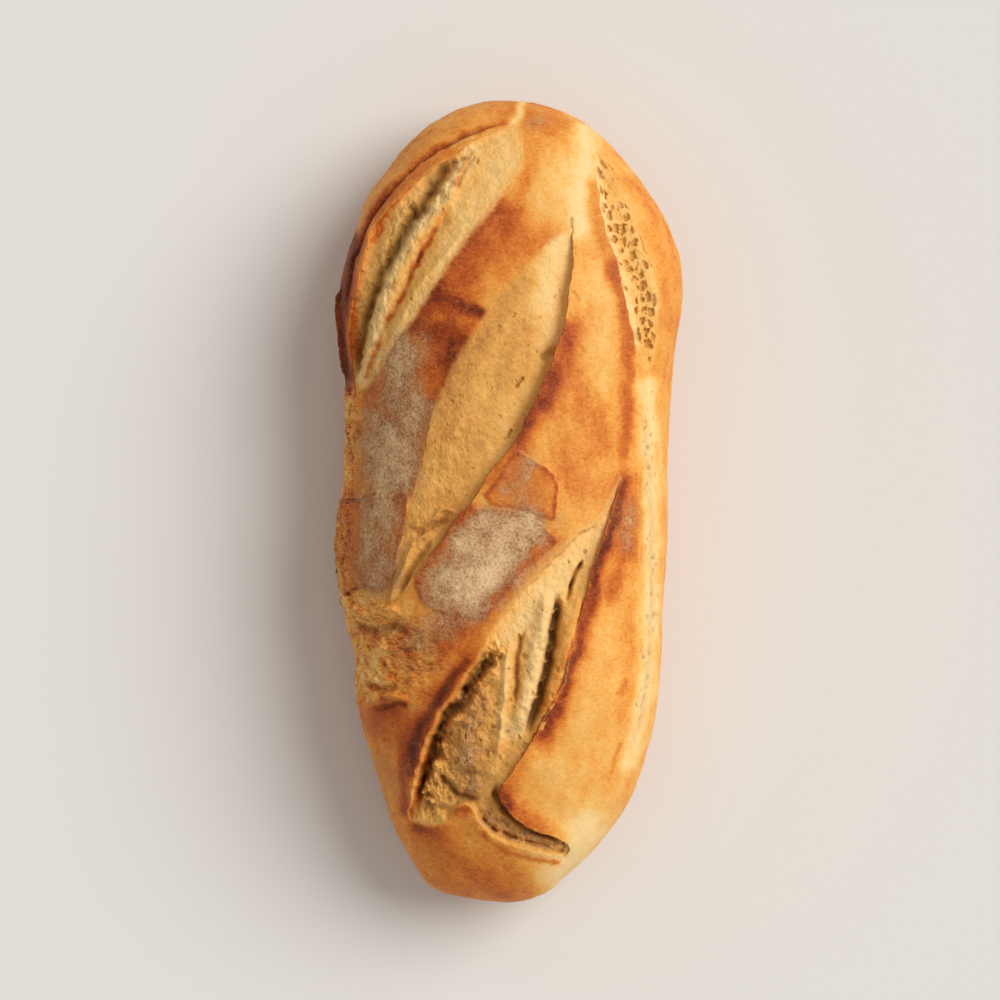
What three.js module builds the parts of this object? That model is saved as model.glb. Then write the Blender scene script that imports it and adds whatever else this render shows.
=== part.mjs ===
// A country loaf, baked free on the oven floor: one long domed solid with four opened slashes.
// Millimetres, +Z up. The loaf lies along Y, on its flat base at z = 0, with the blunt end at +Y.
// Every vertex is a direction from the middle of the loaf, placed on the smooth dough body and then
// moved by the relief of the crust. The mesh is refined only where that relief bends it.
import * as THREE from "three";
import { ImprovedNoise } from "three/addons/math/ImprovedNoise.js";
import { mergeVertices } from "three/addons/utils/BufferGeometryUtils.js";

// Driving dimensions of the dough body
const LENGTH = 300;
const WIDTH = 120;
const HEIGHT = 78;
const HALF_LENGTH = LENGTH / 2;
const GIRTH_SHARE = 0.4; // the widest level, as a share of the height
const TIP_LEVEL = 27; // where the two ends come to a point
const BLUNT_END = 4; // exponents of the plan outline towards +Y and -Y: higher is blunter
const TAPERED_END = 3;
const BLUNT_RISE = 3.2; // the same for the outline seen from the side
const TAPERED_RISE = 2.7;
const DOME = 2.15; // exponent of the upper half of a section: 2 is an ellipse
const BASE_ROUNDNESS = 2.5; // exponent of the lower half
const BASE_PRESS = 1.24; // how far the lower half would reach below the floor if it weren't flat
const BASE_EDGE = 4; // the edge of the flat base is rounded over this height
const TIP_LEAN = 7; // the tapered end leans this far to -X
const LEAN_START = -100;

// Swellings of the outline: where along Y, over what reach, and how far out
const LEFT_SWELLINGS = [
  { y: 113, reach: 9, out: 2.4 },
  { y: 80, reach: 26, out: 4.7 },
  { y: -16, reach: 20, out: 3.4 },
  { y: -58, reach: 8, out: -2 },
  { y: -100, reach: 22, out: -1.4 },
  { y: -146, reach: 6, out: 7 },
];
const RIGHT_SWELLINGS = [
  { y: 88, reach: 34, out: 8.5 },
  { y: -40, reach: 17, out: -1.5 },
  { y: -147, reach: 4, out: 3 },
];

// An opened slash lies between two lips, which meet at both ends. A lip's points are
// [x, y, rise]: its plan position and how far the crust curls up there. depth is that of the
// bare crumb below the crust, leftWall and rightWall are how wide the crumb slopes down from
// each lip, crown is how far the crumb swells in the middle, and curl is how far the right lip
// leans over the crumb for each millimetre of its rise.
const SLASHES = [
  {
    name: "upper",
    left: [[4, 140, 0], [-21, 130, 1.6], [-44, 110, 2.2], [-57, 78, 2], [-59, 55, 1.5], [-55, 35, 0]],
    right: [[4, 140, 0], [5, 122, 0.6], [-10, 98, 1.2], [-31, 71, 1.2], [-49, 44, 0.6], [-55, 35, 0]],
    depth: 4.5,
    leftWall: 9,
    rightWall: 11,
    crown: 0,
    curl: 0,
  },
  {
    name: "middle",
    left: [[24, 99, 0], [5, 84, 0.6], [-13, 56, 1], [-27, 25, 1.2], [-37, -10, 0.8], [-46, -40, 0]],
    right: [[24, 99, 0], [23, 75, 2.6], [14, 44, 3], [-6, 10, 2.6], [-30, -21, 1.6], [-46, -40, 0]],
    depth: 5,
    leftWall: 15,
    rightWall: 3.5,
    crown: 1.2,
    curl: 0.7,
  },
  {
    name: "lower",
    left: [
      [42, 11, 0], [20, -16, 0.6], [-5, -45, 1], [-22, -71, 2.4], [-32, -97, 2.8], [-34, -115, 1],
      [-24, -118, 0.4], [-16, -112, 0.8], [-6, -123, 1.6], [8, -130, 1.4], [23, -131, 0],
    ],
    right: [
      [42, 11, 0], [33, -23, 3.2], [24, -58, 3], [13, -86, 2.8], [-1, -105, 2.4], [7, -117, 2.6],
      [17, -123, 2], [23, -131, 0],
    ],
    depth: 7,
    leftWall: 5,
    rightWall: 4,
    crown: 1.5,
    curl: 0.7,
  },
  {
    name: "right",
    left: [[30, 131, 0], [36, 103, 1], [46, 68, 1.4], [49, 45, 1], [50, 30, 0]],
    right: [[30, 131, 0], [44, 114, 0.6], [53, 85, 0.8], [55, 55, 0.6], [50, 30, 0]],
    depth: 2.4,
    leftWall: 4,
    rightWall: 7,
    crown: 0,
    curl: 0,
  },
  {
    name: "side_band",
    left: [[50, 38, 0], [51, -15, 0.8], [50, -59, 0.6], [43, -97, 0]],
    right: [[50, 38, 0], [57, -7, 0.3], [56, -59, 0.3], [43, -97, 0]],
    depth: 1.4,
    leftWall: 4,
    rightWall: 5,
    crown: 0,
    curl: 0,
  },
];

// Ridges and fissures: a line in plan, half its width, and its height or, below zero, its depth
const FOLDS = [
  { name: "flap_crack", line: [[3, 141], [-21, 135], [-43, 116], [-55, 90], [-59, 69]], half: 1.6, rise: -2 },
  { name: "upper_dip", line: [[-12, 132], [-27, 111], [-44, 83], [-52, 62], [-55, 41]], half: 3.4, rise: -7 },
  { name: "upper_ridge", line: [[-3, 135], [-21, 114], [-35, 94], [-47, 68], [-54, 41]], half: 3, rise: 3.4 },
  { name: "upper_seam", line: [[-14, 129], [-22, 108], [-35, 84], [-52, 46]], half: 1.4, rise: -1.6 },
  { name: "middle_fold", line: [[-7, -2], [-22, -6], [-33, -20], [-43, -38]], half: 1.8, rise: 1.6 },
  { name: "lower_recess", line: [[-1, -54], [-12, -66], [-23, -85], [-30, -106]], half: 3, rise: -5 },
  { name: "lower_strand", line: [[18, -31], [13, -46], [9, -66], [2, -86], [-1, -98]], half: 3.2, rise: 4.5 },
  { name: "lower_fissure", line: [[18, -34], [16, -56], [11, -74], [6, -88]], half: 2, rise: -6.5 },
  { name: "lower_slit", line: [[28, -21], [22, -37]], half: 1.1, rise: -3 },
  { name: "lower_thread", line: [[3, -50], [-2, -63], [-1, -76], [-5, -98]], half: 1.8, rise: 2.4 },
  { name: "lower_cross_crack", line: [[-26, -102], [-20, -108], [-9, -111]], half: 1.6, rise: -3 },
  { name: "tail_crack", line: [[-10, -119], [-3, -125], [12, -127]], half: 1.4, rise: -2.5 },
];

// Crags of torn crust on the left flank: where they lie, how far they reach, and their size
const CRAGS = [
  { at: [-60, -30], reach: [14, 42], rise: 2.2, grain: 9 },
  { at: [-46, -58], reach: [16, 20], rise: 1.4, grain: 7 },
];

// Gentle unevenness of the whole crust
const UNEVEN_RISE = 0.9;
const UNEVEN_GRAIN = 26;

// How the crust rolls up to a lip: a narrow rim on a broad swelling
const RIM_SHARE = 0.6;
const RIM_WIDTH = 3.5;
const SWELL_WIDTH = 13;

// Mesh refinement
const FIRST_DETAIL = 11;
const PASSES = 4;
const TOLERANCE = 0.34;
const SHORTEST_EDGE = 1.5;
const CURVE_STEPS = 48;
const STEEPEST_SHARE = 0.985; // no line on the crust lies further out than this share of the width
const SETTLE_REACH = 1.6; // vertices this near a lip are moved onto it,
const SETTLE_SHARE = 0.5; // if that is at most this share of their shortest edge

const CRUST_COLOUR = 0xc98a45;
const CRUST_ROUGHNESS = 0.62;

const noise = new ImprovedNoise();

// A smooth step from 0 to 1
function ramp(x) {
  const t = THREE.MathUtils.clamp(x, 0, 1);
  return t * t * (3 - 2 * t);
}

function bell(distance, reach) {
  return Math.exp(-((distance / reach) ** 2));
}

// Half the width of the plan outline at y, on the side of +X or -X
function halfWidth(y, side) {
  const along = Math.min(1, Math.abs(y / HALF_LENGTH));
  const plain = (WIDTH / 2) * Math.sqrt(1 - along ** (y > 0 ? BLUNT_END : TAPERED_END));
  const swellings = side > 0 ? RIGHT_SWELLINGS : LEFT_SWELLINGS;
  const swollen = swellings.reduce((sum, s) => sum + s.out * bell(y - s.y, s.reach), 0);
  const lean = TIP_LEAN * THREE.MathUtils.clamp((LEAN_START - y) / (HALF_LENGTH + LEAN_START), 0, 1) ** 2;
  const fade = Math.min(1, (4 * plain) / WIDTH); // nothing swells at the very ends
  return Math.max(0, plain + (swollen - side * lean) * fade);
}

// The section at y: the level of its widest points, and its reach above and below that
function levels(y) {
  const along = Math.min(1, Math.abs(y / HALF_LENGTH));
  const fullness = Math.sqrt(1 - along ** (y > 0 ? BLUNT_RISE : TAPERED_RISE));
  const girth = HEIGHT * GIRTH_SHARE;
  return {
    girth: TIP_LEVEL + (girth - TIP_LEVEL) * fullness,
    above: (HEIGHT - girth) * fullness,
    below: girth * BASE_PRESS * fullness,
  };
}

// The point of the smooth body in a direction from its middle
function bodyPoint(direction) {
  const y = direction.y * HALF_LENGTH;
  const round = Math.hypot(direction.x, direction.z) || 1;
  const across = direction.x / round;
  const up = direction.z / round;
  const { girth, above, below } = levels(y);
  const power = 2 / (up > 0 ? DOME : BASE_ROUNDNESS);
  return new THREE.Vector3(
    Math.sign(across) * halfWidth(y, Math.sign(across)) * Math.abs(across) ** power,
    y,
    girth + Math.sign(up) * (up > 0 ? above : below) * Math.abs(up) ** power,
  );
}

// The outward normal of the smooth body, from two small steps to either side
function bodyNormal(direction) {
  const step = 0.01; // radians
  const reference = Math.abs(direction.y) < 0.9 ? new THREE.Vector3(0, 1, 0) : new THREE.Vector3(1, 0, 0);
  const u = new THREE.Vector3().crossVectors(reference, direction).normalize();
  const v = new THREE.Vector3().crossVectors(direction, u);
  const slope = (axis) => {
    const ahead = bodyPoint(direction.clone().addScaledVector(axis, step).normalize());
    const behind = bodyPoint(direction.clone().addScaledVector(axis, -step).normalize());
    return ahead.sub(behind);
  };
  return slope(u).cross(slope(v)).normalize();
}

// The direction of the upper crust that lies above a plan position, which is kept a little way
// in from the outline
function directionAbove(x, y) {
  const share = THREE.MathUtils.clamp(Math.abs(x) / halfWidth(y, Math.sign(x)), 0, STEEPEST_SHARE);
  const across = Math.sign(x) * share ** (DOME / 2);
  const along = y / HALF_LENGTH;
  const round = Math.sqrt(1 - along * along);
  return new THREE.Vector3(across * round, along, Math.sqrt(1 - across * across) * round);
}

// A plan line laid on the crust: evenly spaced samples, with the way across it and its rise
function layOnCrust(points, side = 1) {
  const curve = new THREE.CatmullRomCurve3(points.map(([x, y, rise = 0]) => new THREE.Vector3(x, y, rise)));
  const plan = curve.getSpacedPoints(CURVE_STEPS);
  const samples = plan.map((p) => {
    const direction = directionAbove(p.x, p.y);
    const point = bodyPoint(direction);
    return { plan: p, rise: Math.max(0, p.z), direction, point, normal: bodyNormal(direction) };
  });
  samples.forEach((sample, i) => {
    const ahead = samples[Math.min(i + 1, CURVE_STEPS)].point;
    const behind = samples[Math.max(i - 1, 0)].point;
    const along = ahead.clone().sub(behind);
    sample.across = new THREE.Vector3().crossVectors(sample.normal, along).normalize().multiplyScalar(side);
    sample.share = i / CURVE_STEPS;
  });
  return samples;
}

// The nearest place on a laid line: its distance, direction and rise, its share of the line's
// length and the way across the line
function nearest(samples, point) {
  const best = { distance: Infinity };
  const span = new THREE.Vector3();
  const offset = new THREE.Vector3();
  for (let i = 0; i < samples.length - 1; i++) {
    const from = samples[i];
    const to = samples[i + 1];
    span.subVectors(to.point, from.point);
    offset.subVectors(point, from.point);
    const t = THREE.MathUtils.clamp(offset.dot(span) / span.lengthSq(), 0, 1);
    const distance = offset.addScaledVector(span, -t).length();
    if (distance < best.distance) {
      best.distance = distance;
      best.rise = THREE.MathUtils.lerp(from.rise, to.rise, t);
      best.share = THREE.MathUtils.lerp(from.share, to.share, t);
      best.direction = from.direction.clone().lerp(to.direction, t);
      best.across = from.across;
    }
  }
  return best;
}

// Whether a plan position lies between the two lips of a slash
function isBetween(outline, x, y) {
  let inside = false;
  outline.forEach((a, i) => {
    const b = outline[(i + 1) % outline.length];
    const crosses = a.y > y !== b.y > y;
    if (crosses && x < ((b.x - a.x) * (y - a.y)) / (b.y - a.y) + a.x) inside = !inside;
  });
  return inside;
}

const slashes = SLASHES.map((slash) => {
  const left = layOnCrust(slash.left, 1);
  const right = layOnCrust(slash.right, -1);
  const outline = [...left.map((s) => s.plan), ...right.map((s) => s.plan).reverse()];
  return { ...slash, left, right, outline };
});
const folds = FOLDS.map((fold) => ({ ...fold, laid: layOnCrust(fold.line) }));

// How far the crust beside a lip is raised, as a share of the lip's rise
function rollUp(distance) {
  return RIM_SHARE * bell(distance, RIM_WIDTH) + (1 - RIM_SHARE) * bell(distance, SWELL_WIDTH);
}

// What a slash does to a point of the crust: how far it rises, and the way its lips lean
function slashRelief(slash, point, above) {
  const l = nearest(slash.left, point);
  const r = nearest(slash.right, point);
  if (Math.min(l.distance, r.distance) > 3 * SWELL_WIDTH) return { rise: 0, lean: new THREE.Vector3() };
  const lean = r.across.clone();
  if (above && isBetween(slash.outline, point.x, point.y)) {
    const slope = ramp(l.distance / slash.leftWall) * ramp(r.distance / slash.rightWall);
    const share = l.distance / (l.distance + r.distance);
    const crumb = -slope * (slash.depth - slash.crown * 4 * share * (1 - share));
    const leftRim = l.rise * (1 - ramp(l.distance / slash.leftWall));
    const rightRim = r.rise * (1 - ramp(r.distance / slash.rightWall));
    return { rise: crumb + leftRim + rightRim, lean: lean.multiplyScalar(slash.curl * rightRim) };
  }
  const rise = l.rise * rollUp(l.distance) + r.rise * rollUp(r.distance);
  return { rise, lean: lean.multiplyScalar(slash.curl * r.rise * bell(r.distance, RIM_WIDTH)) };
}

// A ridge or fissure fades out towards both of its ends
function foldRelief(fold, point) {
  const { distance, share } = nearest(fold.laid, point);
  return distance > 3 * fold.half ? 0 : fold.rise * bell(distance, fold.half) * ramp(8 * share * (1 - share));
}

// Torn crust and the unevenness of the dough
function roughness(point) {
  const lumps = (grain) => noise.noise(point.x / grain, point.y / grain, point.z / grain);
  const crags = CRAGS.reduce((sum, crag) => {
    const away = Math.hypot((point.x - crag.at[0]) / crag.reach[0], (point.y - crag.at[1]) / crag.reach[1]);
    return sum + crag.rise * bell(away, 1) * (0.4 + lumps(crag.grain));
  }, 0);
  return crags + UNEVEN_RISE * lumps(UNEVEN_GRAIN);
}

// Presses what would lie below the floor flat, with a rounded edge
function pressFlat(z) {
  if (z >= BASE_EDGE) return z;
  return z <= -BASE_EDGE ? 0 : (z + BASE_EDGE) ** 2 / (4 * BASE_EDGE);
}

// The point of the finished crust in a direction from the middle of the loaf
function crustPoint(direction) {
  const body = bodyPoint(direction);
  const above = direction.z > 0;
  const placed = body.clone();
  let rise = roughness(body);
  for (const slash of slashes) {
    const relief = slashRelief(slash, body, above);
    rise += relief.rise;
    placed.add(relief.lean);
  }
  for (const fold of folds) rise += foldRelief(fold, body);
  placed.addScaledVector(bodyNormal(direction), rise);
  placed.z = pressFlat(placed.z);
  return placed;
}

// A mesh of directions with their placed points, from the twenty-faced ball
function firstMesh() {
  const ball = new THREE.IcosahedronGeometry(1, FIRST_DETAIL);
  ball.deleteAttribute("normal");
  ball.deleteAttribute("uv");
  const merged = mergeVertices(ball, 1e-4);
  const positions = merged.getAttribute("position");
  const directions = [];
  for (let i = 0; i < positions.count; i++) {
    directions.push(new THREE.Vector3().fromBufferAttribute(positions, i).normalize());
  }
  const corners = merged.index.array;
  const triangles = [];
  for (let i = 0; i < corners.length; i += 3) triangles.push([corners[i], corners[i + 1], corners[i + 2]]);
  return { directions, points: directions.map(crustPoint), triangles };
}

// How far the crust departs from the straight edge between two vertices
function departure(mesh, a, b) {
  const chord = new THREE.Line3(mesh.points[a], mesh.points[b]);
  const foot = new THREE.Vector3();
  return Math.max(
    ...[0.25, 0.5, 0.75].map((share) => {
      const direction = mesh.directions[a].clone().lerp(mesh.directions[b], share).normalize();
      const point = crustPoint(direction);
      return point.distanceTo(chord.closestPointToPoint(point, true, foot));
    }),
  );
}

const edgesOf = ([a, b, c]) => [[a, b], [b, c], [c, a]];
const keyOf = (a, b) => (a < b ? `${a},${b}` : `${b},${a}`);

// The edges to halve: those that the crust departs from, and the longest edge of every triangle
// that has one of them, so that no triangle grows thin
function edgesToHalve(mesh) {
  const length = (a, b) => mesh.points[a].distanceTo(mesh.points[b]);
  const tested = new Set();
  const halved = new Set();
  for (const triangle of mesh.triangles) {
    for (const [a, b] of edgesOf(triangle)) {
      const key = keyOf(a, b);
      if (tested.has(key)) continue;
      tested.add(key);
      if (length(a, b) > 2 * SHORTEST_EDGE && departure(mesh, a, b) > TOLERANCE) halved.add(key);
    }
  }
  for (let before = -1; before !== halved.size; ) {
    before = halved.size;
    for (const triangle of mesh.triangles) {
      const edges = edgesOf(triangle);
      if (!edges.some(([a, b]) => halved.has(keyOf(a, b)))) continue;
      const longest = edges.reduce((x, y) => (length(...y) > length(...x) ? y : x));
      halved.add(keyOf(...longest));
    }
  }
  return halved;
}

// Halves the chosen edges and splits each triangle to match
function refine(mesh) {
  const halved = edgesToHalve(mesh);
  const middles = new Map();
  const middle = (a, b) => {
    const key = keyOf(a, b);
    if (!halved.has(key)) return -1;
    if (!middles.has(key)) {
      const direction = mesh.directions[a].clone().add(mesh.directions[b]).normalize();
      middles.set(key, mesh.directions.push(direction) - 1);
      mesh.points.push(crustPoint(direction));
    }
    return middles.get(key);
  };
  mesh.triangles = mesh.triangles.flatMap((triangle) => splitTriangle(triangle, middle));
}

// One triangle split at the middles of its halved edges
function splitTriangle([a, b, c], middle) {
  const [ab, bc, ca] = [middle(a, b), middle(b, c), middle(c, a)];
  const count = [ab, bc, ca].filter((m) => m >= 0).length;
  if (count === 0) return [[a, b, c]];
  if (count === 3) return [[a, ab, ca], [ab, b, bc], [ca, bc, c], [ab, bc, ca]];
  // The triangle is turned so that its first edge is halved and, of two, its last is whole
  const turn = count === 1 ? ab < 0 : ca >= 0;
  if (turn) return splitTriangle([b, c, a], middle);
  if (count === 1) return [[a, ab, c], [ab, b, c]];
  return [[ab, b, bc], [a, ab, bc], [a, bc, c]];
}

// Moves the vertices that lie close to a lip onto it, so that the lip is a clean edge. The
// closest go first, and no triangle gets all three of its corners on a lip.
function settleOnLips(mesh) {
  const around = mesh.points.map(() => []);
  mesh.triangles.forEach((triangle) => triangle.forEach((v) => around[v].push(triangle)));
  const lips = slashes.flatMap((slash) => [slash.left, slash.right]);
  const near = [];
  mesh.directions.forEach((direction, v) => {
    if (direction.z <= 0) return;
    const body = bodyPoint(direction);
    const found = lips.map((samples) => nearest(samples, body));
    const lip = found.reduce((x, y) => (y.distance < x.distance ? y : x));
    if (lip.distance < SETTLE_REACH) near.push({ v, lip });
  });
  const settled = new Set();
  for (const { v, lip } of near.sort((x, y) => x.lip.distance - y.lip.distance)) {
    const neighbours = around[v].flat().filter((u) => u !== v);
    const shortest = Math.min(...neighbours.map((u) => mesh.points[u].distanceTo(mesh.points[v])));
    const full = around[v].some((triangle) => triangle.filter((u) => settled.has(u)).length > 1);
    if (full || lip.distance > SETTLE_SHARE * shortest) continue;
    settled.add(v);
    mesh.directions[v] = lip.direction.normalize();
    mesh.points[v] = crustPoint(mesh.directions[v]);
  }
}

// The finished mesh, moved so that the middle of its box stands over the origin
function loafGeometry() {
  const mesh = firstMesh();
  for (let pass = 0; pass < PASSES; pass++) refine(mesh);
  settleOnLips(mesh);
  const geometry = new THREE.BufferGeometry().setFromPoints(mesh.points);
  geometry.setIndex(mesh.triangles.flat());
  geometry.computeBoundingBox();
  const middle = geometry.boundingBox.getCenter(new THREE.Vector3());
  geometry.translate(-middle.x, -middle.y, -geometry.boundingBox.min.z);
  geometry.computeVertexNormals();
  return geometry;
}

const crust = new THREE.MeshStandardMaterial({
  name: "crust",
  color: CRUST_COLOUR,
  roughness: CRUST_ROUGHNESS,
  metalness: 0,
});
const loaf = new THREE.Mesh(loafGeometry(), crust);
loaf.name = "loaf";

const group = new THREE.Group();
group.add(loaf);

export default group;
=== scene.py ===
"""Looks of a country loaf: its crust, the torn crumb in its opened slashes, its flour, and a plain studio.

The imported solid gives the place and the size. Here the same dough body is worked out much finer, cut open
along the lips of its slashes, and dressed. Lengths are in millimetres until a mesh is made, +Y runs to the
loaf's blunt end and +Z up. A direction is a unit vector from the middle of the loaf, and each direction
meets the dough once.
"""

import logging
from dataclasses import dataclass, field
from enum import Enum
from itertools import combinations, product
from typing import Any

import bpy
import numpy as np
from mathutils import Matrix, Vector


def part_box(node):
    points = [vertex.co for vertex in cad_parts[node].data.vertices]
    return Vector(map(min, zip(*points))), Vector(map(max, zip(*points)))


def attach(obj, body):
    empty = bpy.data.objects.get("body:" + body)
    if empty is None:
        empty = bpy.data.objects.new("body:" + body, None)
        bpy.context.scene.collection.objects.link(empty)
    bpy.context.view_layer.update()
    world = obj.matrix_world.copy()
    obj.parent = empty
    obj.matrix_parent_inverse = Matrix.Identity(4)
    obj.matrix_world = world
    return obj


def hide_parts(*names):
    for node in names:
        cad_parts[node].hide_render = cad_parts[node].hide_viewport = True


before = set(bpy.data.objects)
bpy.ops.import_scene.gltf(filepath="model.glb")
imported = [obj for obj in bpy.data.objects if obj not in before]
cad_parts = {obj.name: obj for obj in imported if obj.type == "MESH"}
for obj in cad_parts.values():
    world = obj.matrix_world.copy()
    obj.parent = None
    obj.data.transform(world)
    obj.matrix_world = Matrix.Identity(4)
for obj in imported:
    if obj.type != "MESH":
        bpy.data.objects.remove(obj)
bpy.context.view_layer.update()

MM = 0.001
NODE = "loaf"
BODY = "root"
FAR = 1000.0
TINY = 1e-9
log = logging.getLogger("loaf")

Array = np.ndarray
Pair = tuple[float, float]
Triple = tuple[float, float, float]
Socket = bpy.types.NodeSocket


class Side(Enum):
    """The two lips of a slash."""

    LEFT = 1.0
    RIGHT = -1.0


def ramp(x: Array) -> Array:
    """A smooth step from 0 to 1.

    Args:
        x: Any numbers.

    Returns:
        0 below 0, 1 above 1, and an even slope between.
    """
    t = np.clip(x, 0.0, 1.0)
    return t * t * (3.0 - 2.0 * t)


def rising(level: Array, band: Pair) -> Array:
    """A smooth step from 0 at the first end of a band of levels to 1 at the second."""
    return ramp((level - band[0]) / (band[1] - band[0]))


def bell(distance: Array, reach: float) -> Array:
    """A bell curve that is 1 at no distance and about a third at its reach."""
    return np.exp(-((distance / reach) ** 2))


def unit(vectors: Array) -> Array:
    """The same vectors at length 1."""
    length = np.linalg.norm(vectors, axis=-1, keepdims=True)
    return vectors / np.maximum(length, TINY)


def apart_from(line: Array, plan: Array) -> Array:
    """How far plan positions are from a line or, where it has one point, from that spot.

    Args:
        line: The line's points, one a row.
        plan: Plan positions.

    Returns:
        The distance of each position.
    """
    apart = np.full(len(plan), FAR)
    for a, b in zip(line, line[1:] if len(line) > 1 else line):
        span = b - a
        t = np.clip(((plan - a) @ span) / max(span @ span, TINY), 0.0, 1.0)
        apart = np.minimum(apart, np.hypot(*(plan - a - t[:, None] * span).T))
    return apart


def enclosed(outline: Array, plan: Array) -> Array:
    """Whether plan positions lie within a closed outline.

    Args:
        outline: The corners, one a row, with the last joined to the first.
        plan: Plan positions.

    Returns:
        True for each position inside.
    """
    x, y = plan.T
    found = np.zeros(len(plan), dtype=bool)
    for a, b in zip(outline, np.roll(outline, -1, axis=0)):
        if a[1] != b[1]:
            crosses = (a[1] > y) != (b[1] > y)
            found ^= crosses & (x < (b[0] - a[0]) * (y - a[1]) / (b[1] - a[1]) + a[0])
    return found


def paint(colour: tuple[int, int, int]) -> tuple[float, ...]:
    """A screen colour of 0 to 255 as Blender's linear colour with full cover."""
    parts = (value / 255.0 for value in colour)
    return (*(v / 12.92 if v <= 0.04045 else ((v + 0.055) / 1.055) ** 2.4 for v in parts), 1.0)


class Noise:
    """Seeded noise on arrays of points: a smooth one, and one of cells."""

    table = 256
    loudness = 1.6
    layer_gap = 31.7

    def __init__(self, seed: int) -> None:
        """Draws the tables.

        Args:
            seed: The seed of every draw.
        """
        random = np.random.default_rng(seed)
        self.order = random.permutation(self.table)
        self.arrows = unit(random.normal(size=(self.table, 3)))
        self.spots = random.random((self.table, 3))
        self.chance = random.random(self.table)

    def _pick(self, cell: Array) -> Array:
        """The table rows of whole-numbered cells."""
        last, order = self.table - 1, self.order
        return order[(order[(order[cell[:, 0] & last] + cell[:, 1]) & last] + cell[:, 2]) & last]

    def smooth(self, points: Array, grain: float | Triple) -> Array:
        """Gradient noise.

        Args:
            points: Places, one a row.
            grain: Size of its lumps, or a size for each axis.

        Returns:
            About -1 to 1 for each point.
        """
        place = points / np.asarray(grain)
        base = np.floor(place).astype(np.int64)
        part = place - base
        fade = part**3 * (part * (part * 6.0 - 15.0) + 10.0)
        total = np.zeros(len(points))
        for corner in product((0, 1), repeat=3):
            step = np.array(corner)
            arrows = self.arrows[self._pick(base + step)]
            weight = np.prod(np.where(step, fade, 1.0 - fade), axis=1)
            total += weight * ((part - step) * arrows).sum(1)
        return total * self.loudness

    def layered(self, points: Array, grain: float, layers: int, gain: float = 0.5) -> Array:
        """Smooth noise in layers, each half as coarse as the one before and weaker by the gain."""
        return sum(gain**i * self.smooth(points + self.layer_gap * i, grain * 0.5**i) for i in range(layers))

    def cells(self, points: Array, grain: float, flat: bool = False) -> tuple[Array, Array, Array]:
        """Distances to the nearest two of the spots that are scattered one to a cell.

        Args:
            points: Places, one a row.
            grain: Size of a cell.
            flat: Whether the spots lie in plan only, whatever the level of a point.

        Returns:
            Both distances, as shares of the grain, and a number from 0 to 1 that belongs to the nearest
            spot.
        """
        reach = np.array((1.0, 1.0, 0.0 if flat else 1.0))
        place = points / grain * reach
        base = np.floor(place).astype(np.int64)
        nearest, second = np.full(len(points), FAR), np.full(len(points), FAR)
        owner = np.zeros(len(points))
        for corner in product((-1, 0, 1), (-1, 0, 1), (0,) if flat else (-1, 0, 1)):
            cell = base + np.array(corner)
            row = self._pick(cell)
            distance = np.linalg.norm(cell + self.spots[row] * reach - place, axis=1)
            closer = distance < nearest
            second = np.where(closer, nearest, np.minimum(second, distance))
            nearest[closer] = distance[closer]
            owner[closer] = self.chance[row[closer]]
        return nearest, second, owner


NOISE = Noise(20)


@dataclass(frozen=True)
class Grain:
    """A layer of noise: its height, the size of its lumps, and where in the noise it is read."""

    height: float
    size: float | Triple
    start: float = 0.0

    def at(self, points: Array) -> Array:
        """Its height at each point."""
        return self.height * NOISE.smooth(points + self.start, self.size)


@dataclass(frozen=True)
class Stray:
    """How far something strays along some axes. A layer is its height, its size and the gap between axes."""

    layers: tuple[Triple, ...]
    axes: tuple[int, ...]

    def along(self, points: Array, axis: int) -> Array:
        """The noise for one axis."""
        return sum(height * NOISE.smooth(points + gap * axis, size) for height, size, gap in self.layers)

    def at(self, points: Array) -> Array:
        """A column of noise for each axis."""
        return np.column_stack([self.along(points, axis) for axis in self.axes])


@dataclass(frozen=True)
class Swelling:
    """A place where the outline swells or, below zero, draws in."""

    y: float
    reach: float
    out: float


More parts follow.
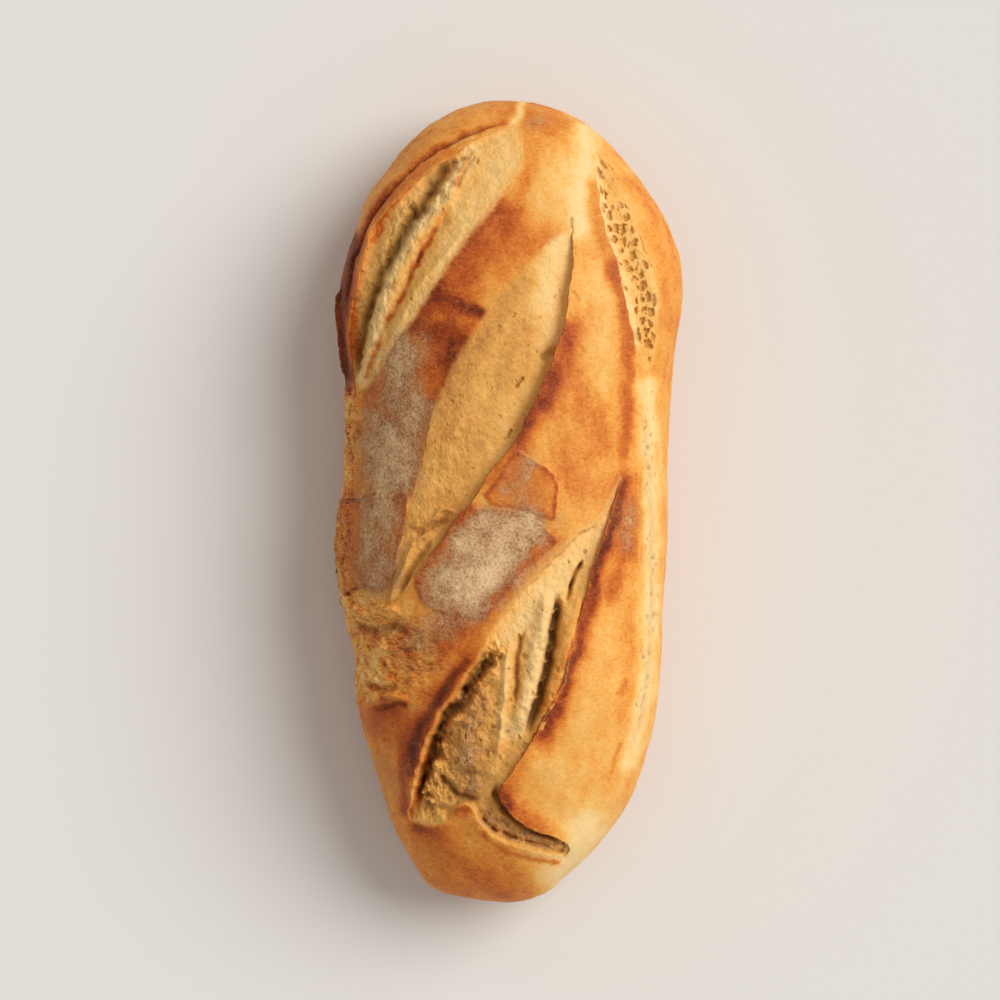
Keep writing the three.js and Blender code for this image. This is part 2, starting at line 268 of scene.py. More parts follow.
@dataclass(frozen=True)
class Dough:
    """The smooth body, before the crust tears: its sizes and its surface."""

    length: float = 300.0
    width: float = 120.0
    height: float = 78.0
    girth_share: float = 0.4
    tip_level: float = 27.0
    blunt_end: float = 4.0
    tapered_end: float = 3.0
    blunt_rise: float = 3.2
    tapered_rise: float = 2.7
    dome: float = 2.15
    base_roundness: float = 2.5
    base_press: float = 1.24
    base_edge: float = 4.0
    tip_lean: float = 7.0
    lean_start: float = -100.0
    outermost: float = 0.985
    probe: float = 0.01
    poleward: float = 0.9
    left: tuple[Swelling, ...] = (
        Swelling(113, 9, 2.4), Swelling(80, 26, 4.7), Swelling(-16, 20, 3.4), Swelling(-58, 8, -2),
        Swelling(-100, 22, -1.4), Swelling(-146, 6, 7),
    )
    right: tuple[Swelling, ...] = (Swelling(88, 34, 8.5), Swelling(-40, 17, -1.5), Swelling(-147, 4, 3))

    def half_width(self, y: Array, side: Array) -> Array:
        """Half the width of the plan outline.

        Args:
            y: Places along the loaf.
            side: 1 for the +X side and -1 for the -X side.

        Returns:
            The distance of the outline from the Y axis.
        """
        half = self.length / 2.0
        along = np.minimum(1.0, np.abs(y / half))
        plain = self.width / 2.0 * np.sqrt(1.0 - along ** np.where(y > 0, self.blunt_end, self.tapered_end))
        swollen = np.zeros(len(y))
        for swellings, here in ((self.right, side > 0), (self.left, side <= 0)):
            for s in swellings:
                swollen += here * s.out * bell(y - s.y, s.reach)
        lean = self.tip_lean * np.clip((self.lean_start - y) / (half + self.lean_start), 0.0, 1.0) ** 2
        fade = np.minimum(1.0, 4.0 * plain / self.width)
        return np.maximum(0.0, plain + (swollen - side * lean) * fade)

    def place(self, directions: Array) -> Array:
        """The points of the smooth body in the given directions.

        Args:
            directions: Unit vectors.

        Returns:
            A place for each direction.
        """
        y = directions[:, 1] * self.length / 2.0
        around = np.maximum(np.hypot(directions[:, 0], directions[:, 2]), TINY)
        across = directions[:, 0] / around
        up = directions[:, 2] / around
        along = np.minimum(1.0, np.abs(directions[:, 1]))
        fullness = np.sqrt(1.0 - along ** np.where(y > 0, self.blunt_rise, self.tapered_rise))
        widest = self.height * self.girth_share
        girth = self.tip_level + (widest - self.tip_level) * fullness
        reach = np.where(up > 0, self.height - widest, widest * self.base_press) * fullness
        power = 2.0 / np.where(up > 0, self.dome, self.base_roundness)
        x = np.sign(across) * self.half_width(y, np.sign(across)) * np.abs(across) ** power
        return np.column_stack((x, y, girth + np.sign(up) * reach * np.abs(up) ** power))

    def normals(self, directions: Array) -> Array:
        """The outward normals of the smooth body in the given directions.

        Args:
            directions: Unit vectors.

        Returns:
            A unit vector for each direction.
        """
        middle = np.abs(directions[:, 1:2]) < self.poleward
        reference = np.where(middle, (0.0, 1.0, 0.0), (1.0, 0.0, 0.0))
        u = unit(np.cross(reference, directions))
        v = np.cross(directions, u)
        slopes = []
        for step in (self.probe * u, self.probe * v):
            slopes.append(self.place(unit(directions + step)) - self.place(unit(directions - step)))
        return unit(np.cross(*slopes))

    def above(self, x: Array, y: Array) -> Array:
        """The directions of the upper crust over the given plan positions.

        Args:
            x: Where each position lies across the loaf.
            y: Where it lies along it.

        Returns:
            A unit vector for each position.
        """
        share = np.clip(np.abs(x) / self.half_width(y, np.sign(x)), 0.0, self.outermost)
        across = np.sign(x) * share ** (self.dome / 2.0)
        along = y / (self.length / 2.0)
        around = np.sqrt(1.0 - along**2)
        return np.column_stack((across * around, along, np.sqrt(1.0 - across**2) * around))

    def press(self, z: Array) -> Array:
        """Levels with what would lie below the floor pressed flat, and the edge of the base rounded."""
        edge = self.base_edge
        return np.where(z >= edge, z, np.where(z <= -edge, 0.0, (z + edge) ** 2 / (4.0 * edge)))


DOUGH = Dough()
SAMPLES = 24


def spline(knots: Array, count: int) -> Array:
    """A smooth curve through knots, with evenly spaced samples.

    Args:
        knots: One knot a row. The first two columns are its place, and the rest are carried along.
        count: The number of stretches between samples.

    Returns:
        The samples, one a row.
    """
    if len(knots) == 2:
        return knots[0] + np.linspace(0.0, 1.0, count + 1)[:, None] * (knots[1] - knots[0])
    ends = np.vstack((2 * knots[0] - knots[1], knots, 2 * knots[-1] - knots[-2]))
    gaps = np.maximum(np.linalg.norm(np.diff(ends[:, :2], axis=0), axis=1), TINY) ** 0.5
    t = np.linspace(0.0, 1.0, SAMPLES, endpoint=False)[:, None]
    parts = []
    for i in range(1, len(ends) - 2):
        a, b, c, d = ends[i - 1 : i + 3]
        before, here, after = gaps[i - 1 : i + 2]
        leave = ((b - a) / before - (c - a) / (before + here) + (c - b) / here) * here
        arrive = ((c - b) / here - (d - b) / (here + after) + (d - c) / after) * here
        square, cube = 3 * (c - b) - 2 * leave - arrive, 2 * (b - c) + leave + arrive
        parts.append(b + leave * t + square * t**2 + cube * t**3)
    fine = np.vstack((*parts, knots[-1:]))
    travelled = np.concatenate(([0.0], np.cumsum(np.linalg.norm(np.diff(fine[:, :2], axis=0), axis=1))))
    wanted = np.linspace(0.0, travelled[-1], count + 1)
    return np.column_stack([np.interp(wanted, travelled, column) for column in fine.T])


@dataclass
class Nearness:
    """Where some points stand beside a line: one entry a point."""

    distance: Array
    share: Array
    extras: Array
    across: Array
    beyond: Array


class LaidLine:
    """A plan line laid on the crust, with values that its knots carry."""

    tear = Stray(((1.0, 5.0, 9.1), (0.6, 1.9, -5.3)), (0, 1))
    taper = 12.0
    at_once = 8000

    def __init__(
        self, knots: tuple, side: Side = Side.LEFT, spacing: float = 1.5, ragged: float = 0.0
    ) -> None:
        """Lays the line.

        Args:
            knots: Plan positions in order, each with the same number of values after x and y.
            side: Which way counts as across the line.
            spacing: About how far apart the samples lie.
            ragged: How far the line strays from its knots, as a torn edge does.
        """
        given = np.array(knots, dtype=float)
        reach = np.linalg.norm(np.diff(given[:, :2], axis=0), axis=1).sum()
        samples = spline(given, max(8, int(reach / spacing)))
        self.length = reach
        self.extras = samples[:, 2:]
        plan = samples[:, :2].copy()
        ends = np.linspace(0.0, 1.0, len(plan))
        seed = np.column_stack((plan, np.full(len(plan), given[0].sum())))
        torn = ragged * ramp(self.taper * ends * (1 - ends))
        plan += torn[:, None] * self.tear.at(seed)
        self.plan = plan
        directions = DOUGH.above(plan[:, 0], plan[:, 1])
        self.points = DOUGH.place(directions)
        self.normals = DOUGH.normals(directions)
        self.across = unit(np.cross(self.normals, np.gradient(self.points, axis=0))) * side.value

    def near(self, points: Array, reach: float) -> Nearness:
        """Finds the nearest place on the line.

        Args:
            points: Places on the smooth body.
            reach: Points farther than this from the line's box get the distance FAR.

        Returns:
            Distances, shares of the line's length, carried values, the way across and whether a point lies
            that way.
        """
        count = len(points)
        result = Nearness(
            distance=np.full(count, FAR),
            share=np.zeros(count),
            extras=np.zeros((count, self.extras.shape[1])),
            across=np.zeros((count, 3)),
            beyond=np.zeros(count, dtype=bool),
        )
        low, high = self.points.min(0) - reach, self.points.max(0) + reach
        close = np.flatnonzero(((points > low) & (points < high)).all(1))
        start, span = self.points[:-1], np.diff(self.points, axis=0)
        square = np.maximum((span**2).sum(1), TINY)
        for some in np.array_split(close, len(close) // self.at_once + 1):
            offset = points[some, None, :] - start[None]
            t = np.clip((offset * span).sum(-1) / square, 0.0, 1.0)
            apart = ((offset - t[..., None] * span) ** 2).sum(-1)
            at = apart.argmin(1)
            rows = np.arange(len(some))
            t = t[rows, at]
            result.distance[some] = np.sqrt(apart[rows, at])
            result.share[some] = (at + t) / len(span)
            result.extras[some] = self.extras[at] + t[:, None] * (self.extras[at + 1] - self.extras[at])
            result.across[some] = self.across[at]
            result.beyond[some] = (offset[rows, at] * self.across[at]).sum(1) > 0
        return result


@dataclass
class Fold:
    """A ridge of the crumb or, with a rise below zero, a fissure. It fades out at both ends.

    half is half its width, and lean is how far it leans across. skew makes the side that lies across the
    line wider and the other one steeper. sharp is the power of its section: 2 is a round one, and less is
    more pointed. ruffle is how uneven its height is.
    """

    line: tuple
    half: float
    rise: float
    lean: float = 0.0
    ragged: float = 0.5
    skew: float = 0.0
    sharp: float = 2.0
    ruffle: float = 0.25
    reach: float = 4.0
    end_width: float = 0.55
    narrowing: float = 6.0
    fading: float = 8.0
    waves: Grain = Grain(1.0, 4.0, 13)
    laid: LaidLine = field(init=False)

    def __post_init__(self) -> None:
        """Lays the line on the crust."""
        self.laid = LaidLine(self.line, ragged=self.ragged)

    def profile(self, points: Array) -> tuple[Array, Array]:
        """How strongly the fold works at points of the smooth body.

        Args:
            points: Places on the smooth body.

        Returns:
            A share from 0 to 1, and the way across the fold.
        """
        near = self.laid.near(points, self.reach * self.half)
        from_ends = near.share * (1 - near.share)
        wide = self.end_width + (1.0 - self.end_width) * ramp(self.narrowing * from_ends)
        width = self.half * wide * (1.0 + self.skew * np.where(near.beyond, 1.0, -1.0))
        fade = ramp(self.fading * from_ends) * (1.0 + self.ruffle * self.waves.at(points))
        return np.exp(-((near.distance / width) ** self.sharp)) * fade, near.across


@dataclass(frozen=True)
class Holes:
    """The pores of open crumb: their size, how many cells have one, their depth and how ragged they are.

    Above zero, walls is the thickness of the walls that they share, as a share of their size, and they lie
    side by side. Otherwise they are round and lie apart.
    """

    size: float = 2.4
    share: float = 0.12
    deep: float = 0.7
    stretch: Triple = (1.0, 1.5, 1.0)
    ragged: float = 0.5
    walls: float = 0.0
    widths: Pair = (0.16, 0.34)
    wall_slope: float = 0.4
    edge_slope: float = 0.6
    tear: Stray = Stray(((1.0, 1.6, 11.0), (0.5, 0.9, -7.0)), (0, 1, 2))

    def depth(self, points: Array) -> Array:
        """How deep the pores are, from 0 to 1.

        Args:
            points: Places on the smooth body.

        Returns:
            A depth for each place.
        """
        bent = (points + self.ragged * self.tear.at(points)) / self.stretch
        apart, second, owner = NOISE.cells(bent, self.size, flat=True)
        if self.walls > 0.0:
            return (owner < self.share) * ramp((second - apart - self.walls) / self.wall_slope)
        width = self.widths[0] + self.widths[1] * owner / self.share
        return (owner < self.share) * ramp((width - apart) / (self.edge_slope * width))


@dataclass
class Slash:
    """A slash that the dough burst open along.

    A lip's knots are (x, y, rise, step): its place, how far the crust curls up there, and how far the crumb
    lies below the edge of the crust. tuck is how far the crumb reaches under the crust at each lip, and
    below zero it leaves the thickness of the crust in sight. rough marks where the crumb is torn open and how
    deeply, and skins marks strips of crust that were left on it and how far they are baked. seed picks the
    noise of its strands, and points below the level lowest are never between the lips.
    """

    name: str
    left: tuple
    right: tuple
    depth: float
    left_wall: float
    right_wall: float
    crown: float = 0.0
    curl: float = 0.0
    left_tuck: float = 0.0
    right_tuck: float = 0.0
    fibre: float = 0.14
    lumps: float = 0.3
    holes: Holes = Holes()
    ragged: Pair = (0.5, 0.4)
    folds: tuple[Fold, ...] = ()
    rough: tuple["Mark", ...] = ()
    skins: tuple["Mark", ...] = ()
    seed: float = 5.0
    spacing: float = 1.0
    lowest: float = 10.0
    near: float = 6.0
    lips: dict = field(init=False)
    outline: Array = field(init=False)

    def __post_init__(self) -> None:
        """Lays both lips on the crust."""
        given = zip(Side, (self.left, self.right), self.ragged)
        self.lips = {side: LaidLine(knots, side, self.spacing, ragged) for side, knots, ragged in given}
        self.outline = np.vstack((self.lips[Side.LEFT].plan, self.lips[Side.RIGHT].plan[::-1]))

    def holds(self, points: Array) -> Array:
        """Whether places lie between the lips, seen from above.

        Args:
            points: Places on the smooth body.

        Returns:
            True for each place between them.
        """
        inside = np.zeros(len(points), dtype=bool)
        low, high = self.outline.min(0), self.outline.max(0)
        boxed = ((points[:, :2] >= low) & (points[:, :2] <= high)).all(1)
        close = np.flatnonzero(boxed & (points[:, 2] > self.lowest))
        inside[close] = enclosed(self.outline, points[close, :2])
        return inside

    def level(self, points: Array) -> Array:
        """Signed distances to the nearer lip: above zero between the lips."""
        nearest = np.minimum(*(self.lips[side].near(points, self.near).distance for side in Side))
        return np.where(self.holds(points), nearest, -nearest)


class Skin:
    """A triangle mesh of directions, refined where the loaf needs it and cut open along the slashes."""

    passes = 16
    snap = 0.12

    def __init__(self) -> None:
        """Starts from the twenty-faced ball."""
        golden = (1.0 + 5.0**0.5) / 2.0
        corners = [(0.0, a, b * golden) for a, b in product((-1, 1), repeat=2)]
        self.directions = unit(np.array([np.roll(c, turn) for c in corners for turn in range(3)]))
        apart = np.linalg.norm(self.directions[:, None] - self.directions[None], axis=2)
        side = np.sort(apart[0])[1]
        joined = np.abs(apart - side) < TINY
        found = []
        for a, b, c in combinations(range(len(apart)), 3):
            if joined[a, b] and joined[b, c] and joined[a, c]:
                outward = np.linalg.det(self.directions[[a, b, c]]) > 0
                found.append((a, b, c) if outward else (a, c, b))
        self.triangles = np.array(found)
        self.owner = np.full(len(found), -1)

    def edges(self) -> tuple[Array, Array]:
        """The ends of each edge, and for each triangle the edges that start at its corners.

        Returns:
            A pair of directions for each edge, and three edges for each triangle.
        """
        pairs = np.stack((self.triangles, np.roll(self.triangles, -1, axis=1)), axis=2)
        keys = pairs.min(2) * len(self.directions) + pairs.max(2)
        found, inverse = np.unique(keys, return_inverse=True)
        return np.column_stack(np.divmod(found, len(self.directions))), inverse.reshape(-1, 3)

    def refine(self, spacing: "SpacingMap") -> None:
        """Halves edges until none is longer than it may be.

        Args:
            spacing: How long an edge may be in each direction.
        """
        for _ in range(self.passes):
            ends, inverse = self.edges()
            points = DOUGH.place(self.directions)
            length = np.linalg.norm(points[ends[:, 0]] - points[ends[:, 1]], axis=1)
            middles = unit(self.directions[ends[:, 0]] + self.directions[ends[:, 1]])
            marked = length > spacing(middles)
            if not marked.any():
                return
            longest = inverse[np.arange(len(inverse)), length[inverse].argmax(1)]
            before = -1
            while before != marked.sum():
                before = marked.sum()
                marked[longest[marked[inverse].any(1)]] = True
            self.divide(ends, inverse, marked, np.full(len(ends), 0.5), length)

    def divide(self, ends: Array, inverse: Array, marked: Array, share: Array, length: Array) -> None:
        """Splits the marked edges, and each triangle to match.

        Args:
            ends: The ends of each edge.
            inverse: The edges of each triangle.
            marked: Whether each edge is split.
            share: Where along each edge it is split.
            length: The length of each edge.
        """
        middle = np.full(len(ends), -1)
        middle[marked] = len(self.directions) + np.arange(marked.sum())
        a, b = self.directions[ends[marked, 0]], self.directions[ends[marked, 1]]
        self.directions = np.vstack((self.directions, unit(a + (b - a) * share[marked, None])))
        middles, lengths = middle[inverse], length[inverse]
        halved = middles >= 0
        count = halved.sum(1)
        kept = count == 0
        parts, owners = [self.triangles[kept]], [self.owner[kept]]

        def turned(chosen: Array, first: Array) -> list[Array]:
            """The chosen triangles turned so that their first edge is the one given."""
            order = (np.arange(3) + first[:, None]) % 3
            return [np.take_along_axis(t[chosen], order, 1).T for t in (self.triangles, middles, lengths)]

        def keep(chosen: Array, *corners: Array) -> None:
            """Adds one new triangle for each chosen one."""
            parts.append(np.column_stack(corners))
            owners.append(self.owner[chosen])

        one = np.flatnonzero(count == 1)
        (a, b, c), (ab, _, _), _ = turned(one, halved[one].argmax(1))
        keep(one, a, ab, c)
        keep(one, ab, b, c)
        two = np.flatnonzero(count == 2)
        (a, b, c), (ab, bc, _), (first, second, _) = turned(two, (~halved[two]).argmax(1) + 1)
        keep(two, ab, b, bc)
        from_c = first > second
        keep(two, np.where(from_c, ab, a), np.where(from_c, bc, ab), np.where(from_c, c, bc))
        keep(two, a, np.where(from_c, ab, bc), c)
        three = np.flatnonzero(count == 3)
        (a, b, c), (ab, bc, ca), _ = turned(three, np.zeros(len(three), dtype=int))
        keep(three, a, ab, ca)
        keep(three, ab, b, bc)
        keep(three, ca, bc, c)
        keep(three, ab, bc, ca)
        self.triangles, self.owner = np.vstack(parts), np.concatenate(owners)

    def cut(self, slash: Slash, index: int) -> None:
        """Cuts the mesh along the lips of a slash, and gives the triangles between them to it.

        Args:
            slash: The slash.
            index: The number that marks its triangles.
        """
        level = slash.level(DOUGH.place(self.directions))
        level[np.abs(level) < self.snap] = 0.0
        ends, inverse = self.edges()
        low, high = level[ends[:, 0]], level[ends[:, 1]]
        marked = low * high < 0
        share = np.divide(low, low - high, out=np.full(len(low), 0.5), where=marked)
        self.divide(ends, inverse, marked, share, np.ones(len(ends)))
        level = np.concatenate((level, np.zeros(len(self.directions) - len(level))))
        corners = level[self.triangles]
        strongest = corners[np.arange(len(corners)), np.abs(corners).argmax(1)]
        self.owner[(strongest > 0) & (self.owner < 0)] = index

    def seam(self, index: int) -> Array:
        """The edges between the crust and a slash's crumb, each as the crust's triangle runs along it.

        Args:
            index: The number that marks the slash's triangles.

        Returns:
            A pair of directions for each edge.
        """
        pairs = np.stack((self.triangles, np.roll(self.triangles, -1, axis=1)), axis=2)
        crust = pairs[self.owner < 0].reshape(-1, 2)
        crumb = pairs[self.owner == index].reshape(-1, 2)
        count = len(self.directions)
        return crust[np.isin(crust[:, 0] * count + crust[:, 1], crumb[:, 1] * count + crumb[:, 0])]


@dataclass(frozen=True)
class Mark:
    """A streak or, with one point, a spot that is baked or dusted to a level of its own.

    reach is where its cover has sunk to a third, and firmness is how sharply it ends there.
    """

    line: tuple
    reach: float
    level: float
    strength: float = 1.0
    firmness: float = 2.0
    stretch: Pair = (1.0, 1.0)

    def path(self) -> Array:
        """The mark's line as it is drawn."""
        knots = np.array(self.line, dtype=float)
        return spline(knots, 3 * len(knots)) if len(knots) > 2 else knots

    def cover(self, plan: Array) -> Array:
        """How strongly the mark covers plan positions, from 0 to its strength."""
        apart = apart_from(self.path() / self.stretch, plan / self.stretch)
        return self.strength * np.exp(-((apart / self.reach) ** self.firmness))


def painted(base: Array, marks: tuple[Mark, ...], plan: Array) -> Array:
    """Lays marks over a base level, each over those before it.

    Args:
        base: The level of each point before the marks.
        marks: The marks, in order.
        plan: The plan position of each point.

    Returns:
        The level of each point.
    """
    level = base.copy()
    for mark in marks:
        cover = mark.cover(plan)
        level += cover * (mark.level - level)
    return level


@dataclass
class Patch:
    """Points of the loaf with their finish: places in millimetres, and a value a point for each layer."""

    places: Array
    layers: dict
    normals: Array | None = None

    def joined(self, other: "Patch") -> "Patch":
        """This patch with another's points after its own."""
        layers = {name: np.concatenate((values, other.layers[name])) for name, values in self.layers.items()}
        return Patch(np.vstack((self.places, other.places)), layers)

    def chosen(self, rows: Array) -> "Patch":
        """The given points of this patch."""
        normals = None if self.normals is None else self.normals[rows]
        return Patch(self.places[rows], {name: values[rows] for name, values in self.layers.items()}, normals)


@dataclass
class Plate:
    """A raised plate of crust with an edge of its own.

    toast and rim are how far it is baked inside and along its rim, strength is how strongly both show, and
    rise is its height over a slope of the width step.
    """

    outline: tuple
    toast: float
    rim: float
    rim_width: float = 1.6
    rise: float = 0.45
    strength: float = 0.8
    margin: float = 6.0
    edge: float = 0.8
    rim_edge: float = 0.6
    step: float = 1.2
    tear: Stray = Stray(((1.0, 3.0, 20.0),), (1, 2))
    torn: float = 0.5
    closed: Array = field(init=False)

    def __post_init__(self) -> None:
        """Rounds the outline and makes it ragged."""
        knots = np.array((*self.outline, self.outline[0]), dtype=float)
        line = spline(knots, 12 * len(knots))
        seed = np.column_stack((line, np.full(len(line), 50.0)))
        self.closed = line + self.torn * self.tear.at(seed)

    def inside(self, plan: Array) -> Array:
        """Signed distances to the plate's edge: above zero inside.

        Args:
            plan: Plan positions.

        Returns:
            A distance for each position, and -FAR for those far outside.
        """
        result = np.full(len(plan), -FAR)
        low, high = self.closed.min(0) - self.margin, self.closed.max(0) + self.margin
        close = np.flatnonzero(((plan > low) & (plan < high)).all(1))
        near = plan[close]
        nearest = apart_from(self.closed, near)
        result[close] = np.where(enclosed(self.closed, near), nearest, -nearest)
        return result

    def bake(self, toast: Array, plan: Array, upper: Array) -> None:
        """Bakes the plate and its rim.

        Args:
            toast: The level of each point, which is changed in place.
            plan: The plan position of each point.
            upper: How far each point belongs to the upper crust.
        """
        inside = self.inside(plan)
        cover = self.strength * upper * ramp(inside / self.edge)
        toast += cover * (self.toast - toast)
        inner = ramp((2.0 * self.rim_width - inside) / (1.4 * self.rim_width))
        rim = ramp(inside / self.rim_edge) * inner
        toast += rim * self.strength * upper * (self.rim - toast)

    def height(self, plan: Array) -> Array:
        """How high the plate lies over each plan position."""
        return self.rise * ramp(0.5 + self.inside(plan) / self.step)


@dataclass(frozen=True)
class Blisters:
    """Small bubbles of the crust: the size of a cell, the least draw that has one, and their form."""

    size: float = 4.6
    least: float = 0.7
    height: float = 0.3
    reach: Pair = (0.22, 0.25)
    power: float = 1.5

    def at(self, body: Array) -> Array:
        """The height of the bubbles.

        Args:
            body: Places on the smooth body.

        Returns:
            A height for each place.
        """
        apart, _, owner = NOISE.cells(body, self.size)
        form = ramp(1.0 - apart / (self.reach[0] + self.reach[1] * owner)) ** self.power
        return self.height * (owner > self.least) * form


@dataclass(frozen=True)
class Evenness:
    """The low relief of baked crust. top is the band of heights above which its fine part is full."""

    lumps: tuple[Grain, ...] = (Grain(0.5, 26.0), Grain(0.3, 9.0, 40))
    wrinkles: Grain = Grain(0.16, (4.5, 7.0, 5.0), -31)
    grain: tuple[Grain, ...] = (Grain(0.12, 3.1, -17), Grain(0.07, 1.6, 23))
    blisters: Blisters = Blisters()
    top: Pair = (12.0, 22.0)
    below: float = 0.35

    def at(self, body: Array) -> Array:
        """The relief of baked crust.

        Args:
            body: Places on the smooth body.

        Returns:
            A rise for each place.
        """
        lumps = sum(layer.at(body) for layer in self.lumps) - np.abs(self.wrinkles.at(body))
        fine = sum(layer.at(body) for layer in self.grain) + self.blisters.at(body)
        return lumps + fine * (self.below + (1.0 - self.below) * rising(body[:, 2], self.top))


@dataclass(frozen=True)
class Shreds:
    """The relief of torn crust: ridges drawn out one way, and a grain on them."""

    bend: Grain = Grain(2.5, 11.0, 3)
    way: tuple = ((0.38, 0.2, 0.0), (0.1, 1.0, 0.0), (0.0, 0.3, 0.5))
    crest: float = 0.6
    ridges: tuple[Grain, ...] = (Grain(1.6, 3.8), Grain(1.6, 2.1, 9))
    grain: Grain = Grain(0.3, 1.4, -9)

    def at(self, body: Array) -> Array:
        """The relief of torn crust.

        Args:
            body: Places on the smooth body.

        Returns:
            A rise for each place.
        """
        bent = body + self.bend.at(body)[:, None]
        along = bent @ self.way
        ridges = sum(self.crest - np.abs(ridge.at(along)) for ridge in self.ridges)
        return ridges + self.grain.at(0.5 * (along + bent))


@dataclass(frozen=True)
class Baking:
    """How baked and floured the loaf is where no mark lies; darker towards its -X side and its base, partly
    from baking and partly as painted shade.

    A band is the pair of levels between which something grows from nothing to its full strength.
    """

    ground: float = 0.37
    # left and low darken the crust towards the -X side and near the base: partly deeper baking, partly
    # painted shade
    left: float = 0.06
    left_band: Pair = (0.0, -40.0)
    low: float = 0.16
    low_band: Pair = (26.0, 4.0)
    floor: float = 0.68
    floor_patches: Grain = Grain(0.12, 17.0)
    floor_band: Pair = (6.0, 1.0)
    patches: Grain = Grain(0.5, 5.0, 70)
    drawn: Triple = (1.0, 0.7, 1.0)
    # torn and torn_gold: how strongly torn crust follows its patches, their middle or least level, and how
    # much paler its raised shreds and darker its grooves are, which is painted light and shade on the relief
    torn: Triple = (0.5, 0.46, 0.2)
    torn_gold: Triple = (0.6, 0.18, 0.26)
    gold: float = 0.35
    flour_band: Pair = (16.0, 28.0)
    low_flour: float = 0.05
    low_clouds: Grain = Grain(1.0, 14.0)
    blurring: float = 1.3
    fraying: float = 0.3
    stray: Stray = Stray(((1.0, 8.0, 50.0), (0.5, 2.6, -50.0)), (1, 2))

    def toast(self, body: Array) -> Array:
        """How baked the crust is at points of the smooth body, away from marks and the floor; darker towards
        -X and lower down, partly from baking and partly as painted shade.
        """
        left, low = rising(body[:, 0], self.left_band), rising(body[:, 2], self.low_band)
        return self.ground + self.left * left + self.low * low

    def near_floor(self, body: Array, toast: Array) -> Array:
        """The same toast with that of the loaf's base laid over it."""
        under = rising(body[:, 2], self.floor_band)
        return toast + under * (self.floor + self.floor_patches.at(body) - toast)

    def dusted(self, body: Array, flour: Array) -> Array:
        """The flour of the marks where it can lie, and a little along the base."""
        flank = self.low_flour * rising(body[:, 2], self.low_band) * (1.0 + self.low_clouds.at(body))
        return np.maximum(flour * rising(body[:, 2], self.flour_band), flank)

    def patchy(self, body: Array) -> Array:
        """The patches of torn crust, from 0 to 1."""
        return 0.5 + self.patches.at(body * self.drawn)


@dataclass(frozen=True)
class Crumb:
    """What the crumb of every slash shares: its strands, its lumps, its torn places and its strips of crust.

    inner, pored and tucked are how far from a lip the crumb is uneven, has pores and reaches under the crust.
    """

    inner: float = 1.6
    pored: float = 2.5
    tucked: float = 3.0
    strand_bend: Grain = Grain(2.0, 5.0, 80)
    strand_length: float = 1.7
    strand_width: float = 6.0
    lump_size: float = 3.6
    lump_start: float = 60.0
    sway: Grain = Grain(0.26, 26.0)
    rough_size: float = 4.2
    rough_drawn: Triple = (1.0, 0.75, 1.0)
    rough_start: float = 90.0
    rough_gain: float = 0.66
    rough_rise: float = 0.12
    # rough_pit and pore_pit set how far torn hollows and pores are darkened with painted shade
    rough_pit: float = 1.9
    pore_pit: float = 0.42
    skin_grain: Grain = Grain(0.5, 2.6, 27)
    skin_gain: float = 1.5
    skin_least: float = 0.35

    def fibres(self, slash: Slash, body: Array, left: Nearness, across: Array) -> Array:
        """The height of the strands and lumps of a slash's crumb.

        Args:
            slash: The slash.
            body: Places on the smooth body.
            left: How near each of them is to the left lip.
            across: How far each lies across the slash, in millimetres.

        Returns:
            The height at each point.
        """
        along = left.share * slash.lips[Side.LEFT].length + self.strand_bend.at(body)
        own = np.full(len(body), slash.seed)
        strands = np.column_stack((along / self.strand_length, across / self.strand_width, own))
        lumps = NOISE.layered(body + self.lump_start, self.lump_size, 3)
        return slash.fibre * NOISE.smooth(strands, 1.0) + slash.lumps * lumps + self.sway.at(body)

    def rugged(self, body: Array) -> Array:
        """The relief of crumb that is torn open."""
        drawn = body * self.rough_drawn + self.rough_start
        return NOISE.layered(drawn, self.rough_size, 4, self.rough_gain) + self.rough_rise

    def skin(self, mark: Mark, body: Array) -> Array:
        """How far a strip of crust covers the crumb."""
        return ramp(self.skin_gain * mark.cover(body[:, :2]) - self.skin_least + self.skin_grain.at(body))


